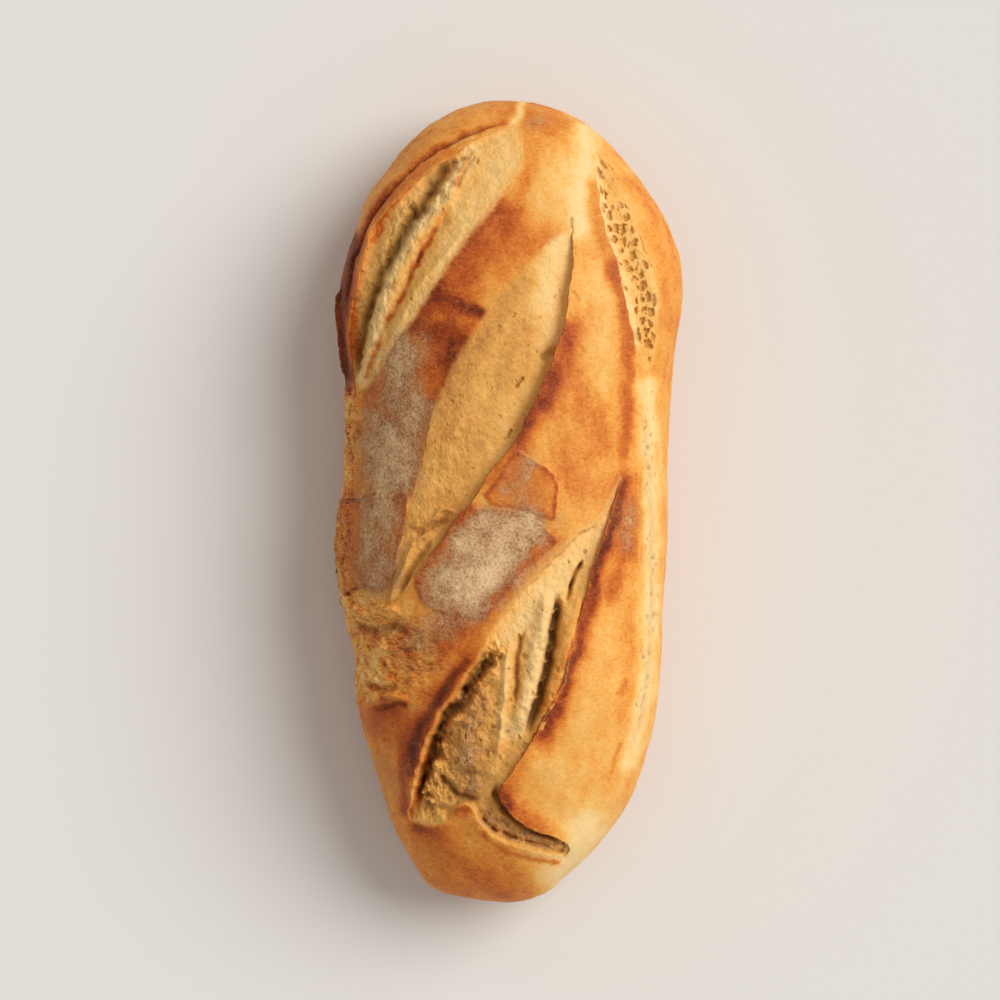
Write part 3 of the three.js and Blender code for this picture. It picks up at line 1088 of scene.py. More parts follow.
@dataclass
class Loaf:
    """The whole loaf: its slashes, its folds, its crags, and how baked and floured it is.

    fine, thin and torn are how long an edge of the mesh may be in crumb, along thin lines and in crags, and
    top, flank and base are the same elsewhere. Above bare the marks of the crust are full after fading.
    Below steep they stray, as they would look drawn out straight down the flanks.
    """

    slashes: tuple[Slash, ...]
    folds: tuple[Fold, ...]
    crags: tuple[Mark, ...]
    plates: tuple[Plate, ...]
    toast: tuple[Mark, ...]
    gold: tuple[Mark, ...]
    flour: tuple[Mark, ...]
    pores: tuple[Mark, ...]
    rim_share: float = 0.6
    rim_width: float = 3.5
    swell_width: float = 13.0
    swell_reach: float = 2.2
    fine: float = 0.52
    thin: float = 0.75
    fold_spacing: float = 0.7
    mark_spacing: float = 0.45
    narrow: float = 3.2
    torn: float = 0.85
    detailed: float = 26.0
    top: float = 1.6
    flank: float = 2.4
    base: float = 8.0
    soft: Pair = (0.3, 1.6)
    soft_step: float = 0.6
    upright: float = 0.25
    bare: float = 17.0
    fading: float = 12.0
    ending: Grain = Grain(3.0, 9.0, 61)
    steep: float = 42.0
    straying: Grain = Grain(0.75, 10.0, 61)
    # fissure, groove and pore_pit set how strongly fissures, crag grooves and pores are darkened with painted
    # shade
    fissure: float = 3.0
    groove: float = 0.7
    bared: float = 0.85
    bared_least: float = 0.4
    bared_patches: Grain = Grain(0.9, 6.0)
    bared_drawn: Triple = (0.7, 1.0, 0.7)
    pore_pit: float = 0.8
    evenness: Evenness = Evenness()
    shreds: Shreds = Shreds()
    baking: Baking = Baking()
    inside: Crumb = Crumb()
    seam_pores: Holes = Holes(1.9, 0.5, 0.5, (1.0, 1.3, 1.0), 0.6)

    def details(self) -> list[tuple[Array, float]]:
        """The plan lines of the crust's fine features, each with how long an edge may be there.

        Returns:
            The lines, each with a length in millimetres.
        """
        lines = [(plate.closed, self.thin) for plate in self.plates]
        lines += [(fold.laid.plan, max(self.thin, self.fold_spacing * fold.half)) for fold in self.folds]
        narrow = (mark for mark in self.toast if mark.reach < self.narrow)
        return lines + [(mark.path(), max(self.thin, self.mark_spacing * mark.reach)) for mark in narrow]

    def plan(self, body: Array) -> Array:
        """Where marks find the crust: from above, and astray along the steep flanks."""
        astray = np.maximum(0.0, self.steep - body[:, 2]) * self.straying.at(body * (0.0, 1.0, 1.0))
        return body[:, :2] + astray[:, None] * (0.0, 1.0)

    def upper(self, body: Array) -> Array:
        """How far points belong to the upper crust: 1 down to the widest level, and 0 near the floor."""
        return ramp((body[:, 2] + self.ending.at(body) - self.bare) / self.fading)

    def covers(self, marks: tuple[Mark, ...], body: Array) -> list[tuple[float, Array]]:
        """The level of each mark, and how strongly it covers points of the smooth body."""
        plan, upper = self.plan(body), self.upper(body)
        return [(mark.level, upper * mark.cover(plan)) for mark in marks]

    def crag(self, body: Array) -> tuple[Array, Array]:
        """The crags of torn crust.

        Args:
            body: Places on the smooth body.

        Returns:
            A rise for each point, and how deep in a groove it lies, from 0 to 1.
        """
        shreds = self.shreds.at(body)
        rise, groove = np.zeros(len(body)), np.zeros(len(body))
        for level, cover in self.covers(self.crags, body):
            rise += level * cover * shreds
            groove = np.maximum(groove, self.groove * cover * ramp(-self.groove * shreds))
        return rise, groove

    def finish(self, body: Array, crumb: Array, pit: Array) -> dict:
        """The finish of points of the smooth body.

        Args:
            body: Places on the smooth body.
            crumb: 0 for crust and 1 for crumb.
            pit: 0 on open crumb and 1 down in a pore or fissure, where shade is painted.

        Returns:
            A value a point for each layer that the materials read.
        """
        baking = self.baking
        upper, seen, stray = self.upper(body), self.plan(body), baking.stray.at(body)
        plan = seen + baking.blurring * stray
        torn = np.max([cover for _, cover in self.covers(self.crags, body)], axis=0)
        torn_rise, _ = self.crag(body)
        patchy, ground = baking.patchy(body), baking.toast(body)
        toast = ground + upper * (painted(ground, self.toast, plan) - ground)
        # torn crust is paler on raised shreds and darker in the grooves between them: painted light and shade
        gain, middle, raised = baking.torn
        toast += torn * (gain * (patchy - middle) - raised * torn_rise)
        for plate in self.plates:
            plate.bake(toast, seen + baking.fraying * stray, upper)
        gold = painted(np.full(len(body), baking.gold), self.gold, plan)
        # the same painted light and shade on the relief of torn crumb: paler on crests, darker in grooves
        gain, least, raised = baking.torn_gold
        gold += torn * (gain * patchy + least - raised * torn_rise - gold)
        toast = baking.near_floor(body, toast)
        flour = baking.dusted(body, painted(np.zeros(len(body)), self.flour, plan))
        return {"toast": toast, "gold": gold, "flour": flour, "crumb": crumb, "pit": pit, "torn": torn}

    def folded(self, body: Array, folds: tuple[Fold, ...]) -> tuple[Array, Array, Array]:
        """The rise, the sideways shift and the pits that folds give.

        Args:
            body: Places on the smooth body.
            folds: The folds, whose effects add up.

        Returns:
            A rise, a shift and a pit from 0 to 1 for each place.
        """
        rise, shift, pit = np.zeros(len(body)), np.zeros((len(body), 3)), np.zeros(len(body))
        for fold in folds:
            share, across = fold.profile(body)
            rise += fold.rise * share
            shift += (fold.lean * share)[:, None] * across
            if fold.rise < 0:
                pit = np.maximum(pit, share * min(1.0, -fold.rise / self.fissure))
        return rise, shift, pit

    def lipped(self, body: Array) -> tuple[Array, Array, Array]:
        """The rise and the sideways shift of the crust beside the slashes, and how far it is crumb there.

        Args:
            body: Places on the smooth body.

        Returns:
            A rise and a shift for each place, and 0 for crust or 1 for crumb.
        """
        rise, shift, crumb = np.zeros(len(body)), np.zeros((len(body), 3)), np.zeros(len(body))
        for slash in self.slashes:
            for side in Side:
                near = slash.lips[side].near(body, self.swell_reach * self.swell_width)
                lip = near.extras[:, 0]
                crumb = np.maximum(crumb, self.openness(near, -1.0))
                rim, swell = bell(near.distance, self.rim_width), bell(near.distance, self.swell_width)
                rise += lip * (self.rim_share * rim + (1.0 - self.rim_share) * swell)
                if side is Side.RIGHT:
                    shift += (slash.curl * lip * rim)[:, None] * near.across
        return rise, shift, crumb

    def crust(self, directions: Array) -> Patch:
        """The crust in the given directions.

        Args:
            directions: Unit vectors.

        Returns:
            A point for each direction, with its finish.
        """
        body, normals = DOUGH.place(directions), DOUGH.normals(directions)
        torn, groove = self.crag(body)
        # painted shade on the crust: fissures, crag grooves and pores are marked here, and the material
        # darkens them
        folds, shift, pit_shade = self.folded(body, self.folds)
        lips, curled, crumb = self.lipped(body)
        rise = self.evenness.at(body) + torn + folds + lips
        pit_shade = np.maximum(pit_shade, groove)
        patches = ramp(self.bared_least + self.bared_patches.at(body * self.bared_drawn))
        for _, cover in self.covers(self.crags, body):
            crumb = np.maximum(crumb, self.bared * cover * patches)
        for plate in self.plates:
            rise += self.upper(body) * plate.height(self.plan(body))
        for level, cover in self.covers(self.pores, body):
            pore = cover * self.seam_pores.depth(body)
            rise -= level * pore
            pit_shade = np.maximum(pit_shade, self.pore_pit * pore)
        return self.placed(body, body + rise[:, None] * normals + shift + curled, crumb, pit_shade)

    def openness(self, near: Nearness, side: float) -> Array:
        """How far crust gives way to crumb beside a lip, softly where the crumb lies flush with the crust.

        Args:
            near: The lip's distance and values at each point.
            side: 1 for points between the lips and -1 for points outside.

        Returns:
            0 for crust and 1 for crumb.
        """
        least, more = self.soft
        soft = least + more * (1.0 - ramp(near.extras[:, 1] / self.soft_step))
        return ramp(0.5 + side * near.distance / (2.0 * soft))

    def crumb(self, slash: Slash, directions: Array) -> Patch:
        """The crumb between the lips of a slash.

        Args:
            slash: The slash.
            directions: Unit vectors.

        Returns:
            A point for each direction, with its finish.
        """
        body, normals = DOUGH.place(directions), DOUGH.normals(directions)
        left, right = (slash.lips[side].near(body, FAR) for side in Side)
        nearest, width = np.minimum(left.distance, right.distance), left.distance + right.distance
        share = left.distance / np.maximum(width, TINY)
        slope = ramp(left.distance / slash.left_wall) * ramp(right.distance / slash.right_wall)
        sunk = -slope * (slash.depth - slash.crown * 4.0 * share * (1.0 - share))
        rise, shift = np.zeros(len(body)), np.zeros((len(body), 3))
        walls, tucks = (slash.left_wall, slash.right_wall), (slash.left_tuck, slash.right_tuck)
        for near, wall, tuck in zip((left, right), walls, tucks):
            lip, step = near.extras.T
            rise += (lip - step) * (1.0 - ramp(near.distance / wall))
            tucked = tuck * np.minimum(1.0, step) * (1.0 - ramp(near.distance / self.inside.tucked))
            shift -= tucked[:, None] * near.across
        inner = ramp(nearest / self.inside.inner)
        folds, leaned, pit = self.folded(body, slash.folds)
        texture = self.inside.fibres(slash, body, left, share * width)
        pore = slash.holes.depth(body) * ramp(nearest / self.inside.pored)
        rugged = self.inside.rugged(body) if slash.rough else None
        for mark in slash.rough:
            cover = mark.cover(body[:, :2])
            texture += mark.level * cover * rugged
            deep = min(1.0, mark.level) * ramp(-self.inside.rough_pit * rugged)
            pit = np.maximum(pit, cover * deep)
        sunk += inner * (folds + texture - slash.holes.deep * pore)
        shift += sunk[:, None] * unit(normals * (self.upright, self.upright, 1.0))
        bare = np.minimum(self.openness(left, 1.0), self.openness(right, 1.0))
        # pit marks where shade is painted in the crumb: fissures, torn hollows and pores
        pit = np.maximum(pit, self.inside.pore_pit * pore) * inner
        places = body + rise[:, None] * normals + (shift + inner[:, None] * leaned)
        patch = self.placed(body, places, bare, pit)
        for mark in slash.skins:
            cover = self.inside.skin(mark, body)
            patch.layers["crumb"] *= 1.0 - cover
            patch.layers["toast"] += cover * (mark.level - patch.layers["toast"])
        return patch

    def placed(self, body: Array, places: Array, crumb: Array, pit: Array) -> Patch:
        """Presses moved points of the smooth body on the floor, and finishes them."""
        places[:, 2] = DOUGH.press(places[:, 2])
        return Patch(places, self.finish(body, crumb, pit))


class SpacingMap:
    """How long an edge of the mesh may be, on a plan grid."""

    cell = 1.5
    corner = (-75.0, -155.0)
    cells = (101, 208)
    slope = 0.55
    rim = 0.8
    height = 50.0
    torn = 0.2
    flank_band = (34.0, 0.0)
    detail_depth = 10.0
    floor = 0.5

    def __init__(self, loaf: Loaf) -> None:
        """Measures how far each cell of the grid is from open crumb and other fine features.

        Args:
            loaf: The loaf with its slashes.
        """
        self.loaf = loaf
        self.low = np.array(self.corner)
        self.count = np.array(self.cells)
        x, y = (self.low[i] + self.cell * np.arange(self.count[i]) for i in (0, 1))
        plan = np.stack(np.meshgrid(x, y, indexing="ij"), axis=2).reshape(-1, 2)
        allowed = np.full(len(plan), loaf.top)
        lines = [(slash.outline, loaf.fine) for slash in loaf.slashes] + loaf.details()
        for line, finest in lines:
            apart = np.full(len(plan), FAR)
            for knot in line[::2]:
                apart = np.minimum(apart, np.hypot(*(plan - knot).T))
            allowed = np.minimum(allowed, finest + self.slope * np.maximum(0.0, apart - self.rim))
        for mark in loaf.crags:
            allowed[mark.cover(plan) > self.torn] = loaf.torn
        raised = np.column_stack((plan, np.full(len(plan), self.height)))
        for slash in loaf.slashes:
            allowed[slash.holds(raised)] = loaf.fine
        self.allowed = allowed.reshape(self.count)

    def __call__(self, directions: Array) -> Array:
        """The longest edge allowed in each direction.

        Args:
            directions: Unit vectors.

        Returns:
            A length in millimetres for each direction.
        """
        body = DOUGH.place(directions)
        cell = np.clip(((body[:, :2] - self.low) / self.cell).round().astype(int), 0, self.count - 1)
        loaf, level = self.loaf, body[:, 2]
        upper = self.allowed[cell[:, 0], cell[:, 1]]
        down = rising(level, self.flank_band)
        flank = np.maximum(upper, loaf.top) + (loaf.flank - loaf.top) * down
        side = upper + (flank - upper) * ramp((loaf.detailed - level) / self.detail_depth)
        return np.where(level < self.floor, loaf.base, side)


@dataclass(frozen=True)
class Piece:
    """A finished mesh in the loaf's own place, before it becomes a Blender object."""

    name: str
    patch: Patch
    triangles: Array

    def facing(self) -> Array:
        """The way each point faces, summed over its triangles by their size.

        Returns:
            A vector for each point.
        """
        a, b, c = (self.patch.places[self.triangles[:, i]] for i in range(3))
        facing = np.cross(b - a, c - a)
        total = np.zeros(self.patch.places.shape)
        for corner in self.triangles.T:
            np.add.at(total, corner, facing)
        return total

    def parted(self, names: tuple[str, str], level: float) -> list["Piece"]:
        """This piece in two, with the triangles above a level in the first.

        Args:
            names: The names of the upper and the lower part.
            level: The level.

        Returns:
            Both parts. Each keeps the normals of the whole, so that no seam shows.
        """
        above = self.patch.places[self.triangles, 2].mean(1) > level
        parts = []
        for name, kept in zip(names, (above, ~above)):
            rows, corners = np.unique(self.triangles[kept], return_inverse=True)
            parts.append(Piece(name, self.patch.chosen(rows), corners.reshape(-1, 3)))
        return parts


class Oven:
    """Bakes the loaf: makes the crust, the crumb of each slash, and the torn edge between them."""

    rows = 3
    parting = 36.0
    flush = 0.35
    stepped = 0.175
    edge_crumb = 0.75
    edge_paler = 0.25

    def __init__(self, loaf: Loaf) -> None:
        """Makes the refined and cut mesh.

        Args:
            loaf: The loaf to bake.
        """
        self.loaf = loaf
        self.skin = Skin()
        self.skin.refine(SpacingMap(loaf))
        for index, slash in enumerate(loaf.slashes):
            self.skin.cut(slash, index)

    def pieces(self) -> list[Piece]:
        """The crust, with its torn edges, and the crumb of each slash.

        Returns:
            The crust in two pieces, and then a piece for each slash.
        """
        rows, triangles = self.own(-1)
        crust, in_crust = self.loaf.crust(self.skin.directions[rows]), self.places_of(rows)
        made, shared = [], []
        for index, slash in enumerate(self.loaf.slashes):
            rows, inner = self.own(index)
            crumb, in_crumb = self.loaf.crumb(slash, self.skin.directions[rows]), self.places_of(rows)
            seam = self.skin.seam(index)
            used = np.unique(seam)
            step = np.linalg.norm(crust.places[in_crust[used]] - crumb.places[in_crumb[used]], axis=1)
            flush = used[step < self.flush]
            here, there = in_crust[flush], in_crumb[flush]
            crumb.places[there] = crust.places[here]
            crust, edge = self.torn_edge(crust, crumb, seam, in_crust, in_crumb)
            triangles = np.vstack((triangles, edge))
            made.append(Piece(f"crumb_{slash.name}", crumb, inner))
            shared.append((here, there))
        whole = Piece("crust", crust, triangles)
        facing = whole.facing()
        for piece, (here, there) in zip(made, shared):
            inner_facing = piece.facing()
            facing[here] += inner_facing[there]
            inner_facing[there] = facing[here]
            piece.patch.normals = unit(inner_facing)
        whole.patch.normals = unit(facing)
        return [*whole.parted(("crust_top", "crust_base"), self.parting), *made]

    def own(self, index: int) -> tuple[Array, Array]:
        """The directions that an owner's triangles use, and those triangles counted among them."""
        rows, corners = np.unique(self.skin.triangles[self.skin.owner == index], return_inverse=True)
        return rows, corners.reshape(-1, 3)

    def places_of(self, rows: Array) -> Array:
        """Where each direction of the mesh stands among the given ones, or -1.

        Args:
            rows: The number of each given direction, in order.

        Returns:
            A number for each direction of the mesh.
        """
        places = np.full(len(self.skin.directions), -1)
        places[rows] = np.arange(len(rows))
        return places

    def torn_edge(
        self, crust: Patch, crumb: Patch, seam: Array, in_crust: Array, in_crumb: Array
    ) -> tuple[Patch, Array]:
        """The thickness of the crust along a slash, from its upper edge down to the crumb.

        Args:
            crust: The crust so far.
            crumb: The crumb of the slash.
            seam: The edges between both, as pairs of directions.
            in_crust: The crust's point for each direction.
            in_crumb: The crumb's point for each direction.

        Returns:
            The crust with the edge's points added, and the edge's triangles.
        """
        used, ends = np.unique(seam, return_inverse=True)
        ends = ends.reshape(-1, 2)
        upper, lower = crust.chosen(in_crust[used]), crumb.chosen(in_crumb[used])
        stepped = np.linalg.norm(upper.places - lower.places, axis=1) > self.stepped
        ends = ends[stepped[ends].any(1)]
        start = len(crust.places)
        rungs = [in_crust[used]]
        for row in range(1, self.rows + 1):
            t = row / self.rows
            places = upper.places + t * (lower.places - upper.places)
            layers = {name: values.copy() for name, values in upper.layers.items()}
            layers["crumb"] = np.full(len(used), self.edge_crumb * t)
            layers["toast"] = upper.layers["toast"] * (1.0 - self.edge_paler * t)
            crust = crust.joined(Patch(places, layers))
            rungs.append(start + (row - 1) * len(used) + np.arange(len(used)))
        a, b = ends[:, 0], ends[:, 1]
        parts = []
        for above, below in zip(rungs, rungs[1:]):
            parts.append(np.column_stack((above[b], above[a], below[a])))
            parts.append(np.column_stack((above[b], below[a], below[b])))
        return crust, np.vstack(parts)


UPPER = Slash(
    name="upper",
    left=(
        (4, 140, 0, 0), (-10, 133.5, 0.7, 0.5), (-20, 127, 1.2, 1.2), (-30, 119, 1.6, 1.6),
        (-36, 113.5, 1.8, 1.8), (-45, 104, 2, 1.8), (-49, 98, 2, 1.8), (-52, 88, 2, 1.8),
        (-55, 75, 1.8, 1.6), (-57.4, 64, 1.5, 1.4), (-56.8, 49, 1, 1), (-55.7, 38, 0, 0),
    ),
    right=(
        (4, 140, 0, 0), (5.6, 134, 0.2, 0), (5.3, 123.1, 0.4, 0), (-0.4, 113.6, 0.5, 0), (-9, 103.1, 0.7, 0),
        (-18.5, 90.8, 0.9, 0), (-25.6, 80.3, 1, 0.1), (-33.2, 68.4, 1, 0.2), (-38.1, 61.3, 0.9, 0.2),
        (-43.3, 52.3, 0.7, 0.2), (-47.1, 46.3, 0.5, 0.1), (-55.7, 38, 0, 0),
    ),
    depth=1.7,
    left_wall=3.0,
    right_wall=13.0,
    crown=0.9,
    left_tuck=1.5,
    fibre=0.16,
    holes=Holes(2.4, 0.06, 0.7),
    ragged=(0.8, 0.5),
    rough=(
        Mark(((-14, 131), (-21, 124), (-28, 114), (-33, 107)), 4.0, 0.8),
        Mark(((-35, 107), (-43, 92), (-48, 80), (-52, 69), (-55, 50)), 5.0, 0.9),
        Mark(((-20, 117), (-30, 103), (-41, 86), (-47, 70), (-51, 55)), 3.0, 0.4),
    ),
    skins=(
        Mark(((-13, 128.4), (-16, 122.5), (-18.6, 116.4)), 2.3, 0.54, 0.62),
        Mark(((-21.5, 107.5), (-24.5, 104), (-26.5, 100), (-28.5, 96)), 1.9, 0.6, 0.74),
        Mark(((-28.6, 96), (-31.6, 90), (-33.6, 86.6)), 2.8, 0.66, 0.82),
        Mark(((-31.6, 91), (-33, 88)), 1.4, 0.84, 0.9),
        Mark(((-33.6, 86.6), (-35.6, 82), (-38, 77), (-40.5, 72), (-43.5, 66.5)), 2.0, 0.68, 0.76),
        Mark(((-46, 60), (-49, 53), (-51.5, 46)), 1.8, 0.6, 0.76),
        Mark(
            ((-22, 127.5), (-28, 122.4), (-32, 118.8), (-36, 114), (-41, 109), (-46, 102.6), (-49, 96)),
            1.6, 0.66, 0.8,
        ),
        Mark(((-53, 92), (-55.4, 80), (-57, 66), (-56.8, 54)), 2.6, 0.64, 0.9),
    ),
    folds=(
        Fold(
            (
                (-15.6, 132.6), (-19.4, 128.8), (-22.4, 123.8), (-25, 120.2), (-27.8, 115.8),
                (-29.2, 111.6), (-32.4, 106.8), (-35.8, 102), (-38.6, 97.6), (-41.2, 92.4), (-44.4, 88),
                (-46.8, 84), (-48.8, 79.6), (-50.8, 74), (-52.4, 69.4), (-54, 63.2), (-55, 54), (-56, 43),
            ),
            2.9, -3.4, ragged=1.3, sharp=1.8,
        ),
        Fold(
            (
                (-12, 130), (-15, 124), (-18.8, 118.6), (-23, 112), (-30, 102.2), (-33.4, 96.4),
                (-36.6, 91), (-40.6, 83), (-44.6, 72), (-48, 61), (-50, 51.5), (-52.6, 41),
            ),
            3.6, 1.6, 0.0, 1.4, sharp=3.4, ruffle=0.3,
        ),
        Fold(((-12.3, 127.9), (-16.1, 121.2), (-18.4, 114)), 0.9, -1.0, ragged=0.6, skew=0.3),
        Fold(
            (
                (-21, 108.5), (-26, 101), (-28.8, 95.6), (-33, 88.5), (-37, 80), (-40.5, 72), (-43.8, 66),
                (-51.9, 44.5),
            ),
            1.3, -0.8, ragged=1.0, ruffle=0.5,
        ),
        Fold(
            ((-15, 100), (-22, 91), (-28.5, 83), (-34.5, 75), (-39, 66), (-45, 56), (-51, 46)),
            1.5, 0.8, ragged=0.9, sharp=1.6,
        ),
        Fold(((-36.6, 109.4), (-35.2, 107.4), (-34.8, 104)), 1.6, -2.4, ragged=0.4),
        Fold(((-41.5, 97), (-41, 94.6), (-44, 91), (-45, 88)), 1.2, -1.6, ragged=0.8),
    ),
)

MIDDLE = Slash(
    name="middle",
    seed=6.0,
    left=(
        (23.6, 100.4, 0, 0), (20.3, 98.8, 0, 0), (13.7, 92.6, 0.2, 0), (7.8, 85.9, 0.3, 0),
        (4.1, 81.1, 0.3, 0), (-1.9, 76.6, 0.4, 0), (-6.6, 69.3, 0.5, 0), (-9.9, 64.6, 0.5, 0),
        (-13.8, 58.4, 0.6, 0), (-20.4, 46.4, 0.6, 0), (-24.3, 38.5, 0.6, 0), (-28, 31.2, 0.6, 0),
        (-29.9, 19.3, 0.6, 0), (-31.8, 9.7, 0.5, 0), (-35.6, -1.7, 0.5, 0), (-37.5, -11.2, 0.4, 0),
        (-40.4, -23.2, 0.3, 0), (-45.7, -40.7, 0, 0),
    ),
    right=(
        (23.6, 100.4, 0, 0), (24.3, 94.5, 1.2, 0.9), (24.8, 85, 2.0, 1.8), (23.2, 76.6, 2.4, 2.2),
        (22.6, 69.3, 2.2, 2), (21.4, 62.2, 2.5, 2.4), (19.4, 57.5, 2.8, 2.6), (16.7, 47.4, 3, 3),
        (14.2, 43.1, 3, 3), (11.9, 37.4, 3, 3), (9, 31.2, 2.9, 2.9), (5.6, 24, 2.6, 2.4),
        (2.4, 18.8, 2.2, 1.9), (-4.3, 11.6, 1.7, 1.2), (-12.3, -0.7, 1.3, 0.8), (-17.6, -6.9, 1.2, 0.6),
        (-23.2, -14.6, 1.1, 0.5), (-29.9, -22.6, 0.9, 0.4), (-39.5, -35, 0.5, 0.2), (-45.7, -40.7, 0, 0),
    ),
    depth=3.2,
    left_wall=17.0,
    right_wall=3.0,
    crown=1.2,
    curl=0.6,
    right_tuck=2.2,
    fibre=0.1,
    lumps=0.22,
    holes=Holes(1.7, 0.06, 0.4, (1.0, 1.3, 1.0), 0.8),
    rough=(
        Mark(((-18, 22), (-26, 4), (-33, -14), (-41, -32)), 7.0, 0.35),
        Mark(((-2, 60), (-12, 38), (-20, 22)), 9.0, 0.16),
    ),
    folds=(
        Fold(((-35.5, -9.4), (-30, -8.2), (-26, -5), (-23, -2.8), (-18, -4.5)), 1.2, 1.9, sharp=1.4),
        Fold(((-34.4, -12.4), (-30, -11), (-25.4, -8), (-21, -7)), 1.0, -1.4),
        Fold(((-35.6, -16.4), (-31.8, -13.6), (-27.5, -10.6)), 1.1, 1.3, sharp=1.4),
        Fold(((-43.4, -39), (-41, -31), (-38, -25), (-36, -20), (-33, -15)), 1.1, 2.0, sharp=1.4),
        Fold(((-40, -35), (-36, -27), (-32, -20.5), (-27, -14)), 1.1, -1.8, ragged=0.4),
        Fold(((-13.6, -3), (-19, -9), (-25, -17), (-33, -27.6)), 1.5, -2.2),
        Fold(((2.8, 41.2), (4.6, 43.8), (6.2, 45.5)), 0.6, -1.5, ragged=0.2),
        Fold(((0, 22.8), (0.9, 24.6), (1.9, 26.4)), 0.6, -1.4, ragged=0.2),
        Fold(((12.6, 51), (14.4, 53.4), (17, 55), (19.6, 55.5)), 1.5, -1.4, ragged=0.4),
        Fold(((-2, 62), (-9, 50), (-15, 37), (-20, 20)), 3.0, 0.7, ragged=1.0),
        Fold(((13, 74), (6, 60), (0, 47), (-7, 30)), 2.6, 0.5, ragged=1.0),
    ),
)

BRIDGES = (
    ((-2.4, -54), (-5.6, -58)), ((-5, -58), (-9.4, -60.4)), ((-4.6, -62), (-9.6, -66)),
    ((-9.6, -65), (-16.4, -73)), ((-12.6, -75), (-19.4, -79)), ((-21.4, -80), (-12.6, -81)),
    ((-23.6, -82), (-26.4, -88)), ((-24, -88), (-21.8, -95.4)), ((-26.6, -95), (-25.4, -99)),
    ((-30.6, -101.6), (-32.2, -108.4)), ((-30, -109), (-27, -111.4)),
)
THREADS = (
    ((18.9, -39), (16.6, -41.4)), ((18.2, -46.4), (15.6, -47.6)), ((17.4, -53), (14.8, -55.8)),
    ((16, -58.4), (13.6, -59.4)), ((15, -64.2), (12.2, -66.6)), ((12.6, -71.6), (10, -72.4)),
)

